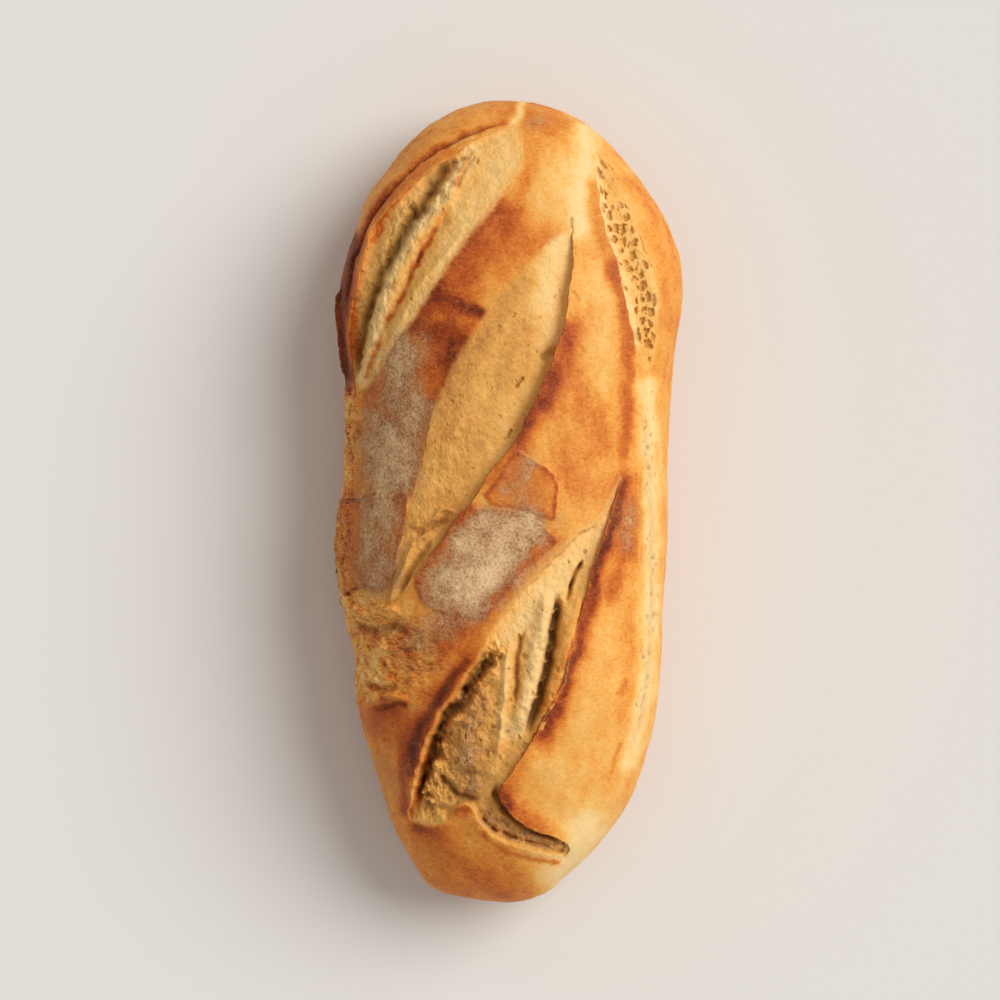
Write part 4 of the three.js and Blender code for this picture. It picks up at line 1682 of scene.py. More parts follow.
LOWER = Slash(
    name="lower",
    left=(
        (41.8, 8.6, 0, 0), (37.6, 0.7, 0.1, 0), (32.8, -7.8, 0.2, 0), (26.1, -11.2, 0.3, 0),
        (18.5, -18.8, 0.4, 0), (9, -28.4, 0.5, 0), (1.8, -36.5, 0.7, 0.1), (-3, -43, 0.9, 0.3),
        (-8, -51.6, 1.4, 0.9), (-11.8, -59, 2, 1.6), (-14.9, -63.2, 2.2, 1.9), (-18.9, -69.5, 2.4, 2),
        (-23.6, -75.8, 2.5, 2.1), (-26.5, -81.4, 2.5, 2.2), (-29.3, -88.2, 2.6, 2.2),
        (-30.8, -93.8, 2.6, 2.2), (-32.2, -99.6, 2.4, 2), (-33.1, -104.2, 2.2, 1.8),
        (-35.1, -111.5, 1.2, 1.1), (-36.6, -116.2, 0.4, 0.5), (-34.3, -118.7, 0.1, 0.3),
        (-26.5, -119.7, 0.1, 0.3), (-21.2, -117.6, 0.2, 0.5), (-18.1, -112.3, 0.3, 0.4),
        (-13.9, -112.3, 0.4, 0.5), (-10.8, -117, 0.8, 1), (-5.6, -122.7, 1.1, 1.3),
        (-0.3, -125.2, 1.1, 1.3), (7.6, -127.9, 1, 1.2), (15.4, -130.2, 0.6, 0.7), (21, -131.6, 0, 0),
    ),
    right=(
        (41.8, 8.6, 0, 0), (40.4, 4.1, 0.9, 0.6), (37.6, -6.4, 2, 1.4), (34.7, -15, 2.4, 1.6),
        (31.8, -23.6, 2.4, 1.5), (29.5, -34, 1.9, 0.9), (26.1, -44.5, 1.3, 0.4), (23.2, -54.1, 1.0, 0.2),
        (20.9, -66.2, 1.0, 0.2), (15.7, -75.8, 1.2, 0.3), (10.4, -87, 1.7, 0.7), (5.6, -94.8, 2.2, 1.6),
        (1.3, -101.5, 2.3, 2.2), (-2, -106.7, 2.2, 2.2), (1, -111.6, 2.3, 2.4), (5.2, -116, 2.2, 2.4),
        (10, -119.2, 2.1, 2.2), (14, -120.9, 2, 2), (18, -122.6, 1.7, 1.7), (21.8, -125.4, 1.3, 1.3),
        (23.2, -128.4, 0.8, 0.8), (21, -131.6, 0, 0),
    ),
    depth=3.2,
    left_wall=1.7,
    right_wall=6.5,
    crown=1.2,
    curl=0.6,
    left_tuck=-0.2,
    right_tuck=1.6,
    fibre=0.1,
    lumps=0.4,
    ragged=(0.7, 0.5),
    rough=(
        Mark(((-4, -54), (-13, -67), (-21, -80), (-26, -92), (-31, -108)), 4.6, 1.5),
        Mark(((-8, -74), (-14, -90), (-18, -104), (-28, -112)), 9.0, 0.7),
        Mark(((-6, -118), (0, -122), (14, -125), (22, -128)), 4.4, 1.2),
        Mark(((14, -46), (9, -66), (2, -88)), 5.0, 0.3),
    ),
    skins=(
        # the dark line along the right lip: the ear's baked edge, darkened further as painted shade under the
        # ear
        Mark(((27.6, -37), (25, -46), (22.4, -55.5), (20, -66.5), (15, -75.5)), 1.5, 0.86, 0.95),
        Mark(((13.4, -79), (9, -87), (5, -94)), 1.2, 0.8, 0.8),
        Mark(((26.4, -36), (23.6, -46), (20.8, -56), (18, -66), (13.6, -76)), 1.6, 0.42, 0.9),
        Mark(((-11, -59), (-18, -69.4), (-25.6, -81.4), (-30, -93.8)), 1.3, 0.46, 0.9),
        Mark(((-30, -93.8), (-32.6, -104), (-34.8, -111), (-36.4, -116.6)), 1.3, 0.68, 0.9),
    ),
    folds=(
        Fold(
            (
                (-3.4, -52.6), (-7.6, -58.8), (-11.4, -63.4), (-15.2, -69), (-19, -74), (-23.6, -80.4),
                (-26.6, -86.6), (-28.6, -93), (-29.8, -98.8), (-31.2, -104.5), (-33, -110), (-33.6, -115),
            ),
            2.1, -5.4, ragged=2.1, sharp=2.6, ruffle=0.4,
        ),
        *(Fold(line, 0.9, 3.2, sharp=1.6) for line in BRIDGES),
        *(Fold(line, 0.5, 4.0, ragged=0.2) for line in THREADS),
        Fold(
            ((15.4, -31), (13.4, -43), (11, -54), (9.2, -63), (7.4, -71), (5.4, -79), (2.6, -88)),
            3.2, 3.0, 0.4, 0.6, skew=-0.1, sharp=2.4,
        ),
        Fold(((6.4, -46), (4, -55), (3.4, -66), (2.6, -75)), 0.8, -1.6, ragged=0.8),
        Fold(((1.6, -50), (-0.6, -60), (-1, -70), (-2, -82), (-4, -96)), 1.6, 1.8, ragged=0.7, sharp=1.5),
        Fold(
            (
                (18.4, -33), (18, -40), (17, -48), (16, -55), (14.9, -62), (13.6, -68), (11.4, -74),
                (8.8, -80), (6.4, -87),
            ),
            1.9, -6.5, ragged=0.8, sharp=3.4, ruffle=0.2,
        ),
        Fold(((25.4, -32), (22.6, -45), (20, -57), (17.2, -67), (14, -76)), 2.6, 1.6, ragged=0.6, sharp=2.8),
        Fold(((28, -21.2), (24.7, -27.3), (22.8, -33.1), (21.3, -37)), 0.65, -2.6, ragged=0.6, ruffle=0.6),
        Fold(((-6, -72), (-13, -82), (-15, -92), (-14, -101)), 5.0, 1.8, ragged=1.4),
        Fold(((-25.4, -99.8), (-20.2, -106.6), (-16, -109.2), (-9.8, -109.7)), 1.3, -2.8, ragged=1.0),
        Fold(((-10, -117), (-6.6, -120.8), (-3.6, -122.6)), 1.0, -2.0),
        Fold(((-2, -122.4), (1, -123.8), (4, -124.6)), 1.0, -2.0, ragged=0.4),
        Fold(
            (
                (-3.6, -103), (-4.2, -108), (-0.6, -113.2), (4, -118), (9.4, -121.4), (14.4, -123.4),
                (20.6, -127.4),
            ),
            1.4, -3.8, ragged=0.6, sharp=2.6,
        ),
        Fold(((6, -125.2), (11, -126.8), (16, -128.2)), 0.8, -1.7),
        Fold(((-36.4, -115.6), (-33, -118), (-26.5, -118.4), (-21.4, -115.8)), 2.4, 2.6, ragged=0.8),
    ),
)

RIGHT = Slash(
    name="right",
    left=(
        (34, 130, 0, 0), (31.8, 124, 0.5, 0.2), (33.2, 115.5, 0.8, 0.5), (34.1, 106.4, 1, 0.7),
        (36.5, 96.9, 1.1, 0.8), (39.9, 87.4, 1.1, 0.8), (41.8, 78.3, 1, 0.7), (42.9, 74, 0.9, 0.6),
        (45.2, 64.5, 0.7, 0.4), (50.4, 46, 0, 0),
    ),
    right=(
        (34, 130, 0, 0), (37.6, 124, 0.1, 0), (44.1, 113, 0.2, 0), (46.6, 104, 0.3, 0), (50, 94.5, 0.3, 0),
        (53.2, 85, 0.4, 0), (55.1, 77.3, 0.4, 0), (55.2, 65, 0.3, 0), (54.3, 54.1, 0.2, 0), (50.4, 46, 0, 0),
    ),
    depth=2.2,
    left_wall=3.4,
    right_wall=8.0,
    left_tuck=0.8,
    fibre=0.05,
    holes=Holes(3.2, 0.84, 1.5, (0.85, 1.4, 1.0), 1.0, 0.18),
    ragged=(0.4, 0.8),
)

CRACK = (
    (2, 141.5), (-15, 135.5), (-22.5, 132), (-30, 127.4), (-34, 124), (-39, 118.8), (-44, 113),
    (-49, 106), (-53, 98.5), (-56.6, 89.7), (-59, 69),
)
CRUST_FOLDS = (
    Fold(CRACK, 1.2, -2.2, ragged=0.4),
    Fold(((-26, 139), (-36, 132), (-46, 122), (-52, 113)), 1.3, -0.7, ragged=0.8),
    Fold(((-33, 138), (-43, 130), (-50, 120)), 1.1, -0.5, ragged=0.8),
    Fold(((44.1, 121.2), (50.8, 115.1), (55.6, 109.8), (59.9, 101.6), (60.8, 94.5)), 0.9, -0.8),
    Fold(((50, 38), (52, 19), (53.6, -7), (54, -37), (53, -59), (50, -80), (43, -97)), 2.4, -0.8),
    Fold(((49, 12), (49.6, -6), (49.8, -18), (49.3, -30)), 0.9, -0.7, ragged=0.3),
    Fold(((-61, 80), (-62.4, 70), (-61.6, 58), (-60, 44)), 0.9, 1.9),
    Fold(((-53.4, 40), (-55.4, 34), (-58, 28)), 1.1, 1.1, ragged=0.3),
    Fold(
        ((-60, -37), (-55, -40.5), (-50, -42.6), (-43, -39.6), (-38, -41.6)),
        1.3, 1.9, ragged=0.9, sharp=1.4,
    ),
    Fold(((-58, -45), (-50, -48), (-42, -46.5), (-35, -50)), 1.8, -1.8, ragged=0.9),
    Fold(((-57, -53), (-50, -55.5), (-44, -54), (-36, -57.5)), 1.3, 1.5, ragged=1.0, sharp=1.4),
    Fold(((-57, -74), (-52, -75.4), (-46, -73), (-42, -71.4), (-35, -73)), 1.2, 1.9, ragged=0.7, sharp=1.4),
    Fold(((-51, -77.5), (-45, -76), (-41, -74.4), (-36, -76)), 1.1, -1.8, ragged=0.7),
    Fold(((-56, -61.6), (-50, -64), (-46, -66.5), (-41, -64.5)), 1.2, 1.7, ragged=0.9, sharp=1.4),
    Fold(((-53, -66.5), (-47, -69.5), (-40, -68)), 1.2, -1.4, ragged=0.9),
    Fold(((-62, -4), (-60, -14), (-61, -26), (-59, -34)), 1.2, -1.5, ragged=1.0),
    Fold(((24.4, 77), (25.6, 74.6), (26.8, 72.4)), 0.6, -0.7, ragged=0.2),
    Fold(((26.4, 56.5), (27.6, 55), (28.6, 53.8)), 0.5, -0.6, ragged=0.2),
    Fold(((-46, -88), (-44.4, -88.8)), 0.7, -0.8, ragged=0.1),
    Fold(((23.5, 104.5), (23.4, 101), (24.2, 97.5)), 0.5, -0.8, ragged=0.2),
    Fold(((41.6, -89), (39.6, -95), (38.6, -101)), 0.6, -0.4, ragged=0.3),
)

CRAGS = (
    Mark(((-58.5, 38), (-61, 12), (-62.5, -10), (-61, -34)), 5.6, 0.75, firmness=4.0),
    Mark(((-54, -40), (-51, -52), (-51, -66)), 10.0, 0.6, firmness=4.0),
    Mark(((-38, -48), (-33, -55), (-40, -64)), 9.0, 0.42, 0.85, firmness=3.0),
    Mark(((-26, -52), (-27, -60), (-33, -70)), 6.0, 0.3, 0.5),
)

PLATES = (
    Plate(
        (
            (-66, 2), (-56, 1), (-48, 3.5), (-42, 2), (-36.8, 3.2), (-36.2, -8), (-38.6, -16), (-40.6, -26),
            (-44, -33), (-51, -32), (-60, -35), (-67, -16),
        ),
        0.72, 0.94, 1.4, 0.5, 0.85,
    ),
    Plate(
        (
            (-8, 2), (-3, 9), (4, 17.6), (8, 16), (13, 13), (17, 9.5), (18.5, 5), (18.2, -1), (17.5, -7),
            (12, -6), (5, -3.4), (-6, -2),
        ),
        0.6, 0.78, 1.3, 0.45, 0.85,
    ),
    Plate(
        (
            (-11, -3), (-5, -2.6), (4, -3.6), (10, -6), (14.5, -10.5), (18, -15), (11, -21.5), (3, -29.5),
            (-4, -36), (-9, -42), (-20, -42), (-32, -36), (-33, -28), (-27, -20), (-19, -11),
        ),
        0.68, 0.78, 1.8, 0.6,
    ),
)

LOAF = Loaf(
    slashes=(UPPER, MIDDLE, LOWER, RIGHT),
    folds=CRUST_FOLDS,
    crags=CRAGS,
    plates=PLATES,
    toast=(
        Mark(((-8, 148), (-30, 138), (-45, 124)), 9, 0.46),
        Mark(((-22, 129), (-34, 120), (-42, 111.6), (-47, 104.6)), 3.0, 0.6),
        Mark(((-55.6, 96), (-59, 83), (-60.5, 62), (-58.5, 42)), 4.2, 0.98),
        Mark(CRACK[:7], 1.2, 0.74),
        Mark(((-44, 113), (-49, 106), (-52, 100.5), (-55, 94)), 1.8, 0.84),
        Mark(((-62, 76), (-64, 69), (-63, 58), (-61.5, 46)), 0.9, 0.4, 0.6),
        Mark(((4, 142), (14, 138), (22, 132)), 9, 0.6),
        Mark(((5, 150), (5, 144), (2, 140.5)), 1.8, 0.08),
        Mark(((20, 122), (18, 112), (12, 105)), 11, 0.22),
        Mark(((29, 139), (29, 126), (26, 108), (27, 100)), 4.5, 0.0),
        Mark(((8.5, 136), (8.5, 122), (2, 110), (-4, 102)), 3.6, 0.52),
        Mark(((13, 96), (5, 92), (-6, 86)), 8, 0.58),
        Mark(((0, 104), (-12, 93), (-20, 80)), 8, 0.72, firmness=3.0),
        Mark(((-24, 70), (-20, 58), (-24, 50)), 9, 0.82),
        Mark(
            ((-3, 107), (-11, 98), (-19, 87), (-26, 77), (-33, 67), (-39, 58), (-47, 47), (-53, 38)),
            3.0, 0.8,
        ),
        Mark(((-25, 78), (-31, 70), (-35, 63)), 3.5, 0.88),
        Mark(((-27, 75), (-17, 71.6), (-9.6, 68.6)), 2.6, 0.93, firmness=3.0),
        Mark(((-26, 67), (-13, 64.6)), 1.4, 0.68),
        Mark(((-27, 61), (-18, 57), (-19, 49)), 5.0, 0.9, firmness=3.0),
        Mark(((-16, 54), (-21, 44), (-27, 34), (-29, 26)), 2.8, 0.84),
        Mark(((-29, 24), (-32, 10), (-35, 4)), 2.8, 0.72),
        Mark(((-40, 44), (-44, 28), (-44, 12)), 13, 0.74),
        Mark(((-58, 22), (-58.5, 5), (-60, -15)), 4.5, 0.6),
        Mark(((-54, 38), (-55, 20)), 4.0, 0.6),
        Mark(((4, 19), (-2, 12.5), (-10, 3)), 2.0, 0.62),
        Mark(((-14, -3), (-20, -10), (-27, -18)), 3.0, 0.84),
        Mark(((24, 46), (31, 26), (26, 8)), 12, 0.55),
        Mark(((26.6, 93), (26.8, 80), (25.8, 70), (24.6, 60)), 3.2, 0.38),
        Mark(((22.6, 63), (20.4, 54), (17.4, 45), (13, 36), (8.4, 28), (4.4, 21)), 4.6, 0.8),
        Mark(((16.6, 45), (12.4, 36), (8, 28)), 2.4, 0.87),
        Mark(((33, 82), (35, 62), (34, 46)), 6, 0.28),
        Mark(
            (
                (31, 116), (33, 106), (35, 97), (38, 86), (41, 76), (43, 66), (44, 55), (44, 44), (44, 32),
                (43, 20), (42.5, 11),
            ),
            2.9, 0.5, firmness=3.0,
        ),
        Mark(((38, 88), (41.4, 76), (43.6, 64), (44.6, 50), (44.4, 34), (43.4, 18)), 2.4, 0.68, firmness=3.0),
        Mark(((43, 7), (44, -4), (43.4, -16), (41.4, -26), (38, -34)), 4.8, 0.72, 0.85, firmness=3.0),
        Mark(((17, -15.5), (11, -21.5), (3, -29.5), (-3, -36), (-9, -43)), 3.0, 0.82),
        Mark(((20, -16), (13, -22.5), (5, -31), (-1, -38), (-8, -47), (-14, -55)), 2.4, 0.46, 0.9),
        Mark(((-20, -46), (-28, -53), (-36, -57)), 9, 0.8),
        Mark(((-38, -46), (-46, -48), (-52, -47)), 3.4, 0.72),
        Mark(((-50, -60), (-40, -66), (-32, -66)), 7, 0.48),
        Mark(((-48, -80), (-42, -82), (-38, -90)), 9, 0.73),
        Mark(((-44, -76), (-41, -77)), 3, 0.8),
        Mark(((-44, -98), (-41, -112)), 8, 0.5),
        Mark(((-14.5, -58), (-20, -65.5), (-26, -73.5), (-30.5, -82), (-33.5, -91), (-35.5, -99)), 3.8, 0.97),
        Mark(((-36, -98), (-37.4, -106), (-38, -115)), 2.2, 0.78),
        Mark(((33, -48), (30, -75), (27, -95)), 8, 0.32),
        Mark(((45.5, -24), (45.8, -50), (44.8, -66), (42.5, -80)), 3.0, 0.44, firmness=2.5),
        Mark(((43.6, -66), (41.4, -71)), 1.1, 0.6),
        Mark(((41.6, -89), (39.6, -95), (38.6, -101)), 0.9, 0.5),
        Mark(((31, -42), (27, -58), (22, -72), (17, -88)), 5.0, 0.42),
        Mark(((43, 7), (40.4, -4), (37, -15), (33, -26), (30.4, -36)), 2.4, 0.96),
        Mark(((31, -35), (29, -42), (26.8, -49), (24.4, -57), (22.4, -65), (19, -73), (16, -79)), 2.3, 0.88),
        Mark(((29.6, -38), (27.6, -46)), 3.2, 0.86),
        Mark(((18, -76), (15.6, -82), (12, -88)), 3.8, 0.92),
        Mark(((10, -91), (6, -98), (2, -103)), 4.2, 0.6),
        Mark(((14, -98), (20, -108), (26, -116)), 9, 0.3, 0.8),
        Mark(
            ((-2, -106), (1, -110.4), (5.6, -114.8), (10.4, -118), (15, -120), (20, -122), (24, -127)),
            2.8, 0.64,
        ),
        Mark(((-3, -105.5), (0.6, -110.5)), 2.6, 0.9),
        Mark(((-26, -128), (-16, -138), (0, -143)), 12, 0.62),
        Mark(((-34, -121), (-27, -122.5)), 2.6, 0.8),
        Mark(((-20, -114), (-15.5, -113)), 2.2, 0.76),
        Mark(((30, -122), (20, -137)), 9, -0.04),
        Mark(((-9, -122), (-3, -127.2), (8, -131.2), (18, -133.2)), 1.1, 0.62),
        Mark(((48, 118), (57, 104), (61, 88)), 3.6, 0.54),
        Mark(((56, 104), (59, 84), (61, 66), (60, 46)), 6.0, 0.47),
        Mark(((59.5, 40), (60, 10), (59.6, -20), (58.4, -50)), 2.2, 0.4),
        Mark(
            ((51.6, 42), (53.5, 12), (53.6, -20), (53, -50), (50.6, -75), (45, -97)),
            3.7, 0.04, firmness=2.6,
        ),
    ),
    gold=(
        Mark(((0, 132), (-4, 120), (-12, 106), (-20, 95)), 8, 0.14),
        Mark(((-12, 108), (-20, 92), (-28, 78), (-36, 66), (-45, 54)), 3.6, 0.16),
        Mark(((-24, 124), (-36, 112), (-46, 98), (-52, 84), (-55, 68)), 4.5, 0.26),
        Mark(((-22, 103), (-29, 91), (-36, 78), (-43, 64)), 2.0, 0.4),
        Mark(((-14, 131), (-20, 124), (-25, 117), (-29, 110), (-35, 106)), 2.4, 0.5),
        Mark(((-36, 98), (-42, 91), (-46, 83), (-50, 74), (-53, 66), (-54.6, 55), (-55.4, 45)), 2.6, 0.58),
        Mark(
            (
                (-13, 129), (-19, 119), (-24, 112), (-30, 104), (-35, 98), (-41, 87), (-45, 77), (-48, 67),
                (-51, 56), (-53.5, 45),
            ),
            2.8, -0.06,
        ),
        Mark(((19, 95), (16, 84), (14, 72), (11, 60)), 6.5, 0.0),
        Mark(((4, 80), (-4, 70), (-10, 58), (-16, 46), (-22, 34), (-25, 20)), 5.5, 0.58),
        Mark(((6, 62), (-1, 46)), 7, 0.5),
        Mark(((-10, 24), (-18, 12), (-24, 0)), 8, 0.48),
        Mark(((8, 42), (2, 28), (-4, 16)), 4, 0.28),
        Mark(((-30, -8), (-36, -20), (-42, -36)), 4, 0.5),
        Mark(((-18, 0), (-24, -8)), 5, 0.6),
        Mark(((35, 0), (28, -14), (20, -26), (10, -38), (2, -48)), 8, 0.05),
        Mark(((15, -34), (12.4, -50), (9.6, -62), (7, -73), (3.4, -84)), 3.6, -0.12),
        Mark(((5, -50), (4, -60), (3.4, -70)), 1.2, 0.62),
        Mark(((26, -34), (24, -45), (21, -56), (18.6, -66), (14, -78)), 2.6, 0.36),
        Mark(((-7, -52), (-12, -59.4), (-18.6, -70), (-25.6, -82), (-30, -95), (-32.4, -105)), 1.6, 0.4),
        Mark(((-8, -72), (-14, -88), (-14, -104)), 8, 0.6),
        Mark(((0, -58), (-1, -72), (-3, -86)), 2.2, 0.08),
        Mark(((-3, -92), (-2, -102)), 3, 0.36),
        Mark(((44, 110), (50, 90), (54, 68)), 6, 0.24),
        Mark(((34, 126), (34.6, 113), (36.6, 100), (40.6, 88), (44.6, 74), (48, 60)), 2.4, 0.0),
        Mark(((-6, -116), (4, -122), (14, -126)), 4, 0.54),
    ),
    flour=(
        Mark(((-37, 56), (-40, 46), (-41, 36)), 8, 0.64),
        Mark(((-46, 30), (-46, 10)), 9, 0.5),
        Mark(((-33, 34), (-37, 18)), 6, 0.7),
        Mark(((-38, 51),), 4.5, 0.9),
        Mark(((-44, 20), (-41, 10)), 8, 0.9),
        Mark(((-46, -3), (-48, -14), (-47, -27)), 9, 0.6, firmness=3.0),
        Mark(((8, 13), (2, 6)), 5, 0.4),
        Mark(((5, -12), (-4, -21), (-19, -32)), 11.5, 0.9, firmness=3.0),
        Mark(((-1, -25), (-14, -34)), 7, 1.2),
        Mark(((-7, -6), (-17, -16)), 4, 0.9),
        Mark(((17, -8), (18, -14), (11, -20), (3, -28), (-4, -36)), 3.6, 0.2),
        Mark(((-22, -43), (-30, -48)), 7, 0.4),
        Mark(((-40, -46), (-50, -47)), 5, 0.16),
        Mark(((-11, -74), (-14, -88), (-14, -102)), 7, 0.3),
        Mark(((-8, -117), (2, -122), (14, -126)), 3.6, 0.3),
        Mark(((44, -2), (43, -16)), 5, 0.28),
        Mark(((14, 141),), 1.0, 0.24, stretch=(9, 4)),
        Mark(((-43, -104),), 1.0, 0.2, stretch=(8, 15)),
    ),
    pores=(
        Mark(
            ((51, 42), (52.6, 20), (53.6, -10), (53.4, -40), (51.4, -62), (48, -82)),
            2.6, 0.55, firmness=3.0,
        ),
        Mark(((28, 66), (30, 40), (24, 14)), 9, 0.25, 0.35),
    ),
)


class Graph:
    """The nodes of one material. slant is the angle of the slashes, in radians."""

    slant = 0.5

    def __init__(self, name: str) -> None:
        """Starts an empty material.

        Args:
            name: The material's name.
        """
        self.material = bpy.data.materials.new(name)
        self.material.use_nodes = True
        self.tree = self.material.node_tree
        self.tree.nodes.clear()
        place = self.add("ShaderNodeTexCoord", {}).outputs["Object"]
        scale = {0: place, "Scale": 1.0 / MM}
        self.place = self.add("ShaderNodeVectorMath", scale, operation="SCALE").outputs[0]

    def add(self, kind: str, inputs: dict, **settings: Any) -> bpy.types.Node:
        """Adds a node.

        Args:
            kind: The node's type.
            inputs: A value or another node's output for each input.
            **settings: The node's own settings.

        Returns:
            The new node.
        """
        node = self.tree.nodes.new(kind)
        for name, value in settings.items():
            setattr(node, name, value)
        for key, value in inputs.items():
            if isinstance(value, Socket):
                self.tree.links.new(value, node.inputs[key])
            else:
                node.inputs[key].default_value = value
        return node

    def layer(self, name: str) -> Socket:
        """A layer of values that the mesh carries."""
        return self.add("ShaderNodeAttribute", {}, attribute_name=name).outputs["Fac"]

    def math(self, operation: str, *values: Any) -> Socket:
        """The result of a calculation on one, two or three values."""
        return self.add("ShaderNodeMath", dict(enumerate(values)), operation=operation).outputs[0]

    def noise(
        self, grain: float, detail: float = 2.0, roughness: float = 0.5, stretch: float = 1.0
    ) -> Socket:
        """Noise from 0 to 1.

        Args:
            grain: The size of its lumps in millimetres.
            detail: How many finer layers it has.
            roughness: How strong they are.
            stretch: How many times longer the lumps are along the slashes.

        Returns:
            The noise.
        """
        place = self.place
        if stretch != 1.0:
            turn, scale = (0.0, 0.0, self.slant), (1.0, 1.0 / stretch, 1.0)
            turned = {"Vector": place, "Rotation": turn, "Scale": scale}
            place = self.add("ShaderNodeMapping", turned).outputs[0]
        inputs = {"Vector": place, "Scale": 1.0 / grain, "Detail": detail, "Roughness": roughness}
        return self.add("ShaderNodeTexNoise", inputs).outputs[0]

    def stray(
        self, grain: float, detail: float = 2.0, roughness: float = 0.5, stretch: float = 1.0
    ) -> Socket:
        """The same noise from -0.5 to 0.5."""
        return self.math("SUBTRACT", self.noise(grain, detail, roughness, stretch), 0.5)

    def between(self, value: Socket, low: float, high: float) -> Socket:
        """A smooth step that is 0 below the low value and 1 above the high one."""
        inputs = {0: value, "From Min": low, "From Max": high}
        return self.add("ShaderNodeMapRange", inputs, interpolation_type="SMOOTHSTEP").outputs[0]

    def ramp(self, value: Socket, stops: tuple) -> Socket:
        """A colour picked along stops of (place, screen colour).

        Args:
            value: A value from 0 to 1.
            stops: The stops, in order.

        Returns:
            The colour.
        """
        node = self.add("ShaderNodeValToRGB", {0: value})
        elements = node.color_ramp.elements
        for i, (place, colour) in enumerate(stops):
            element = elements[i] if i < len(elements) else elements.new(place)
            element.position = place
            element.color = paint(colour)
        return node.outputs[0]

    def mix(self, share: Any, first: Any, second: Any) -> Socket:
        """The first colour mixed towards the second by a share."""
        return self.add("ShaderNodeMix", {0: share, 6: first, 7: second}, data_type="RGBA").outputs[2]


@dataclass(frozen=True)
class CrustFinish:
    """Baked crust, from pale gold to nearly burnt.

    A layer of mottling is its size, its strength and how far it is drawn out along the slashes.
    """

    stops: tuple = (
        (0.0, (250, 213, 148)), (0.2, (246, 193, 110)), (0.4, (238, 163, 71)), (0.55, (221, 129, 47)),
        (0.7, (196, 96, 33)), (0.85, (152, 62, 20)), (1.0, (94, 36, 13)),
    )
    # painted shade: shade is the colour that cracks, crag grooves and pores in the crust are darkened
    # towards, and shaded is how far
    shade: tuple = (84, 38, 16)
    shaded: float = 0.7
    # painted highlights: glint is the colour of thin pale lines painted over the crust, glinting their
    # strength, and the fields after it their size, width and where they show
    glint: tuple = (246, 172, 104)
    glinting: float = 0.26
    glint_size: float = 5.0
    glint_width: float = 0.014
    glint_band: Pair = (0.5, 0.64)
    mottling: tuple = ((7.0, 0.09, 1.6), (1.8, 0.06, 0.45), (0.8, 0.045, 1.0))
    curl: float = 2.8
    curled: float = 0.06
    bump: float = 0.25
    roughness: float = 0.56


@dataclass(frozen=True)
class CrumbFinish:
    """Open crumb, dried by the oven."""

    stops: tuple = (
        (0.0, (250, 209, 140)), (0.3, (241, 182, 97)), (0.55, (217, 153, 77)), (0.75, (180, 120, 60)),
        (1.0, (108, 66, 26)),
    )
    # painted shade: the colour that pores, fissures and torn hollows are darkened towards, and how far
    shade: tuple = (104, 66, 24)
    shaded: float = 0.75
    mottling: tuple = ((5.0, 0.1, 1.3), (2.2, 0.06, 0.6), (0.8, 0.04, 1.0))
    curl: float = 2.2
    curled: float = 0.08
    bump: float = 0.5
    roughness: float = 0.85


@dataclass(frozen=True)
class FlourFinish:
    """Flour baked on: a dull haze over the crust, and a speckle of pale curls that thickens into clouds."""

    haze: tuple = (144, 92, 50)
    hazing: float = 0.9
    hazed: float = 0.7
    haze_clouds: float = 0.6
    pale: tuple = (254, 219, 168)
    cover: float = 0.92
    heaping: float = 0.56
    least: float = 0.3
    clouds: float = 5.5
    clouded: float = 0.8
    drawn: float = 1.5
    curl: float = 1.9
    curled: float = 0.2
    grain: float = 0.9
    grained: float = 0.6
    low: float = 0.0
    high: float = 1.08
    bump: float = 0.3
    roughness: float = 0.95


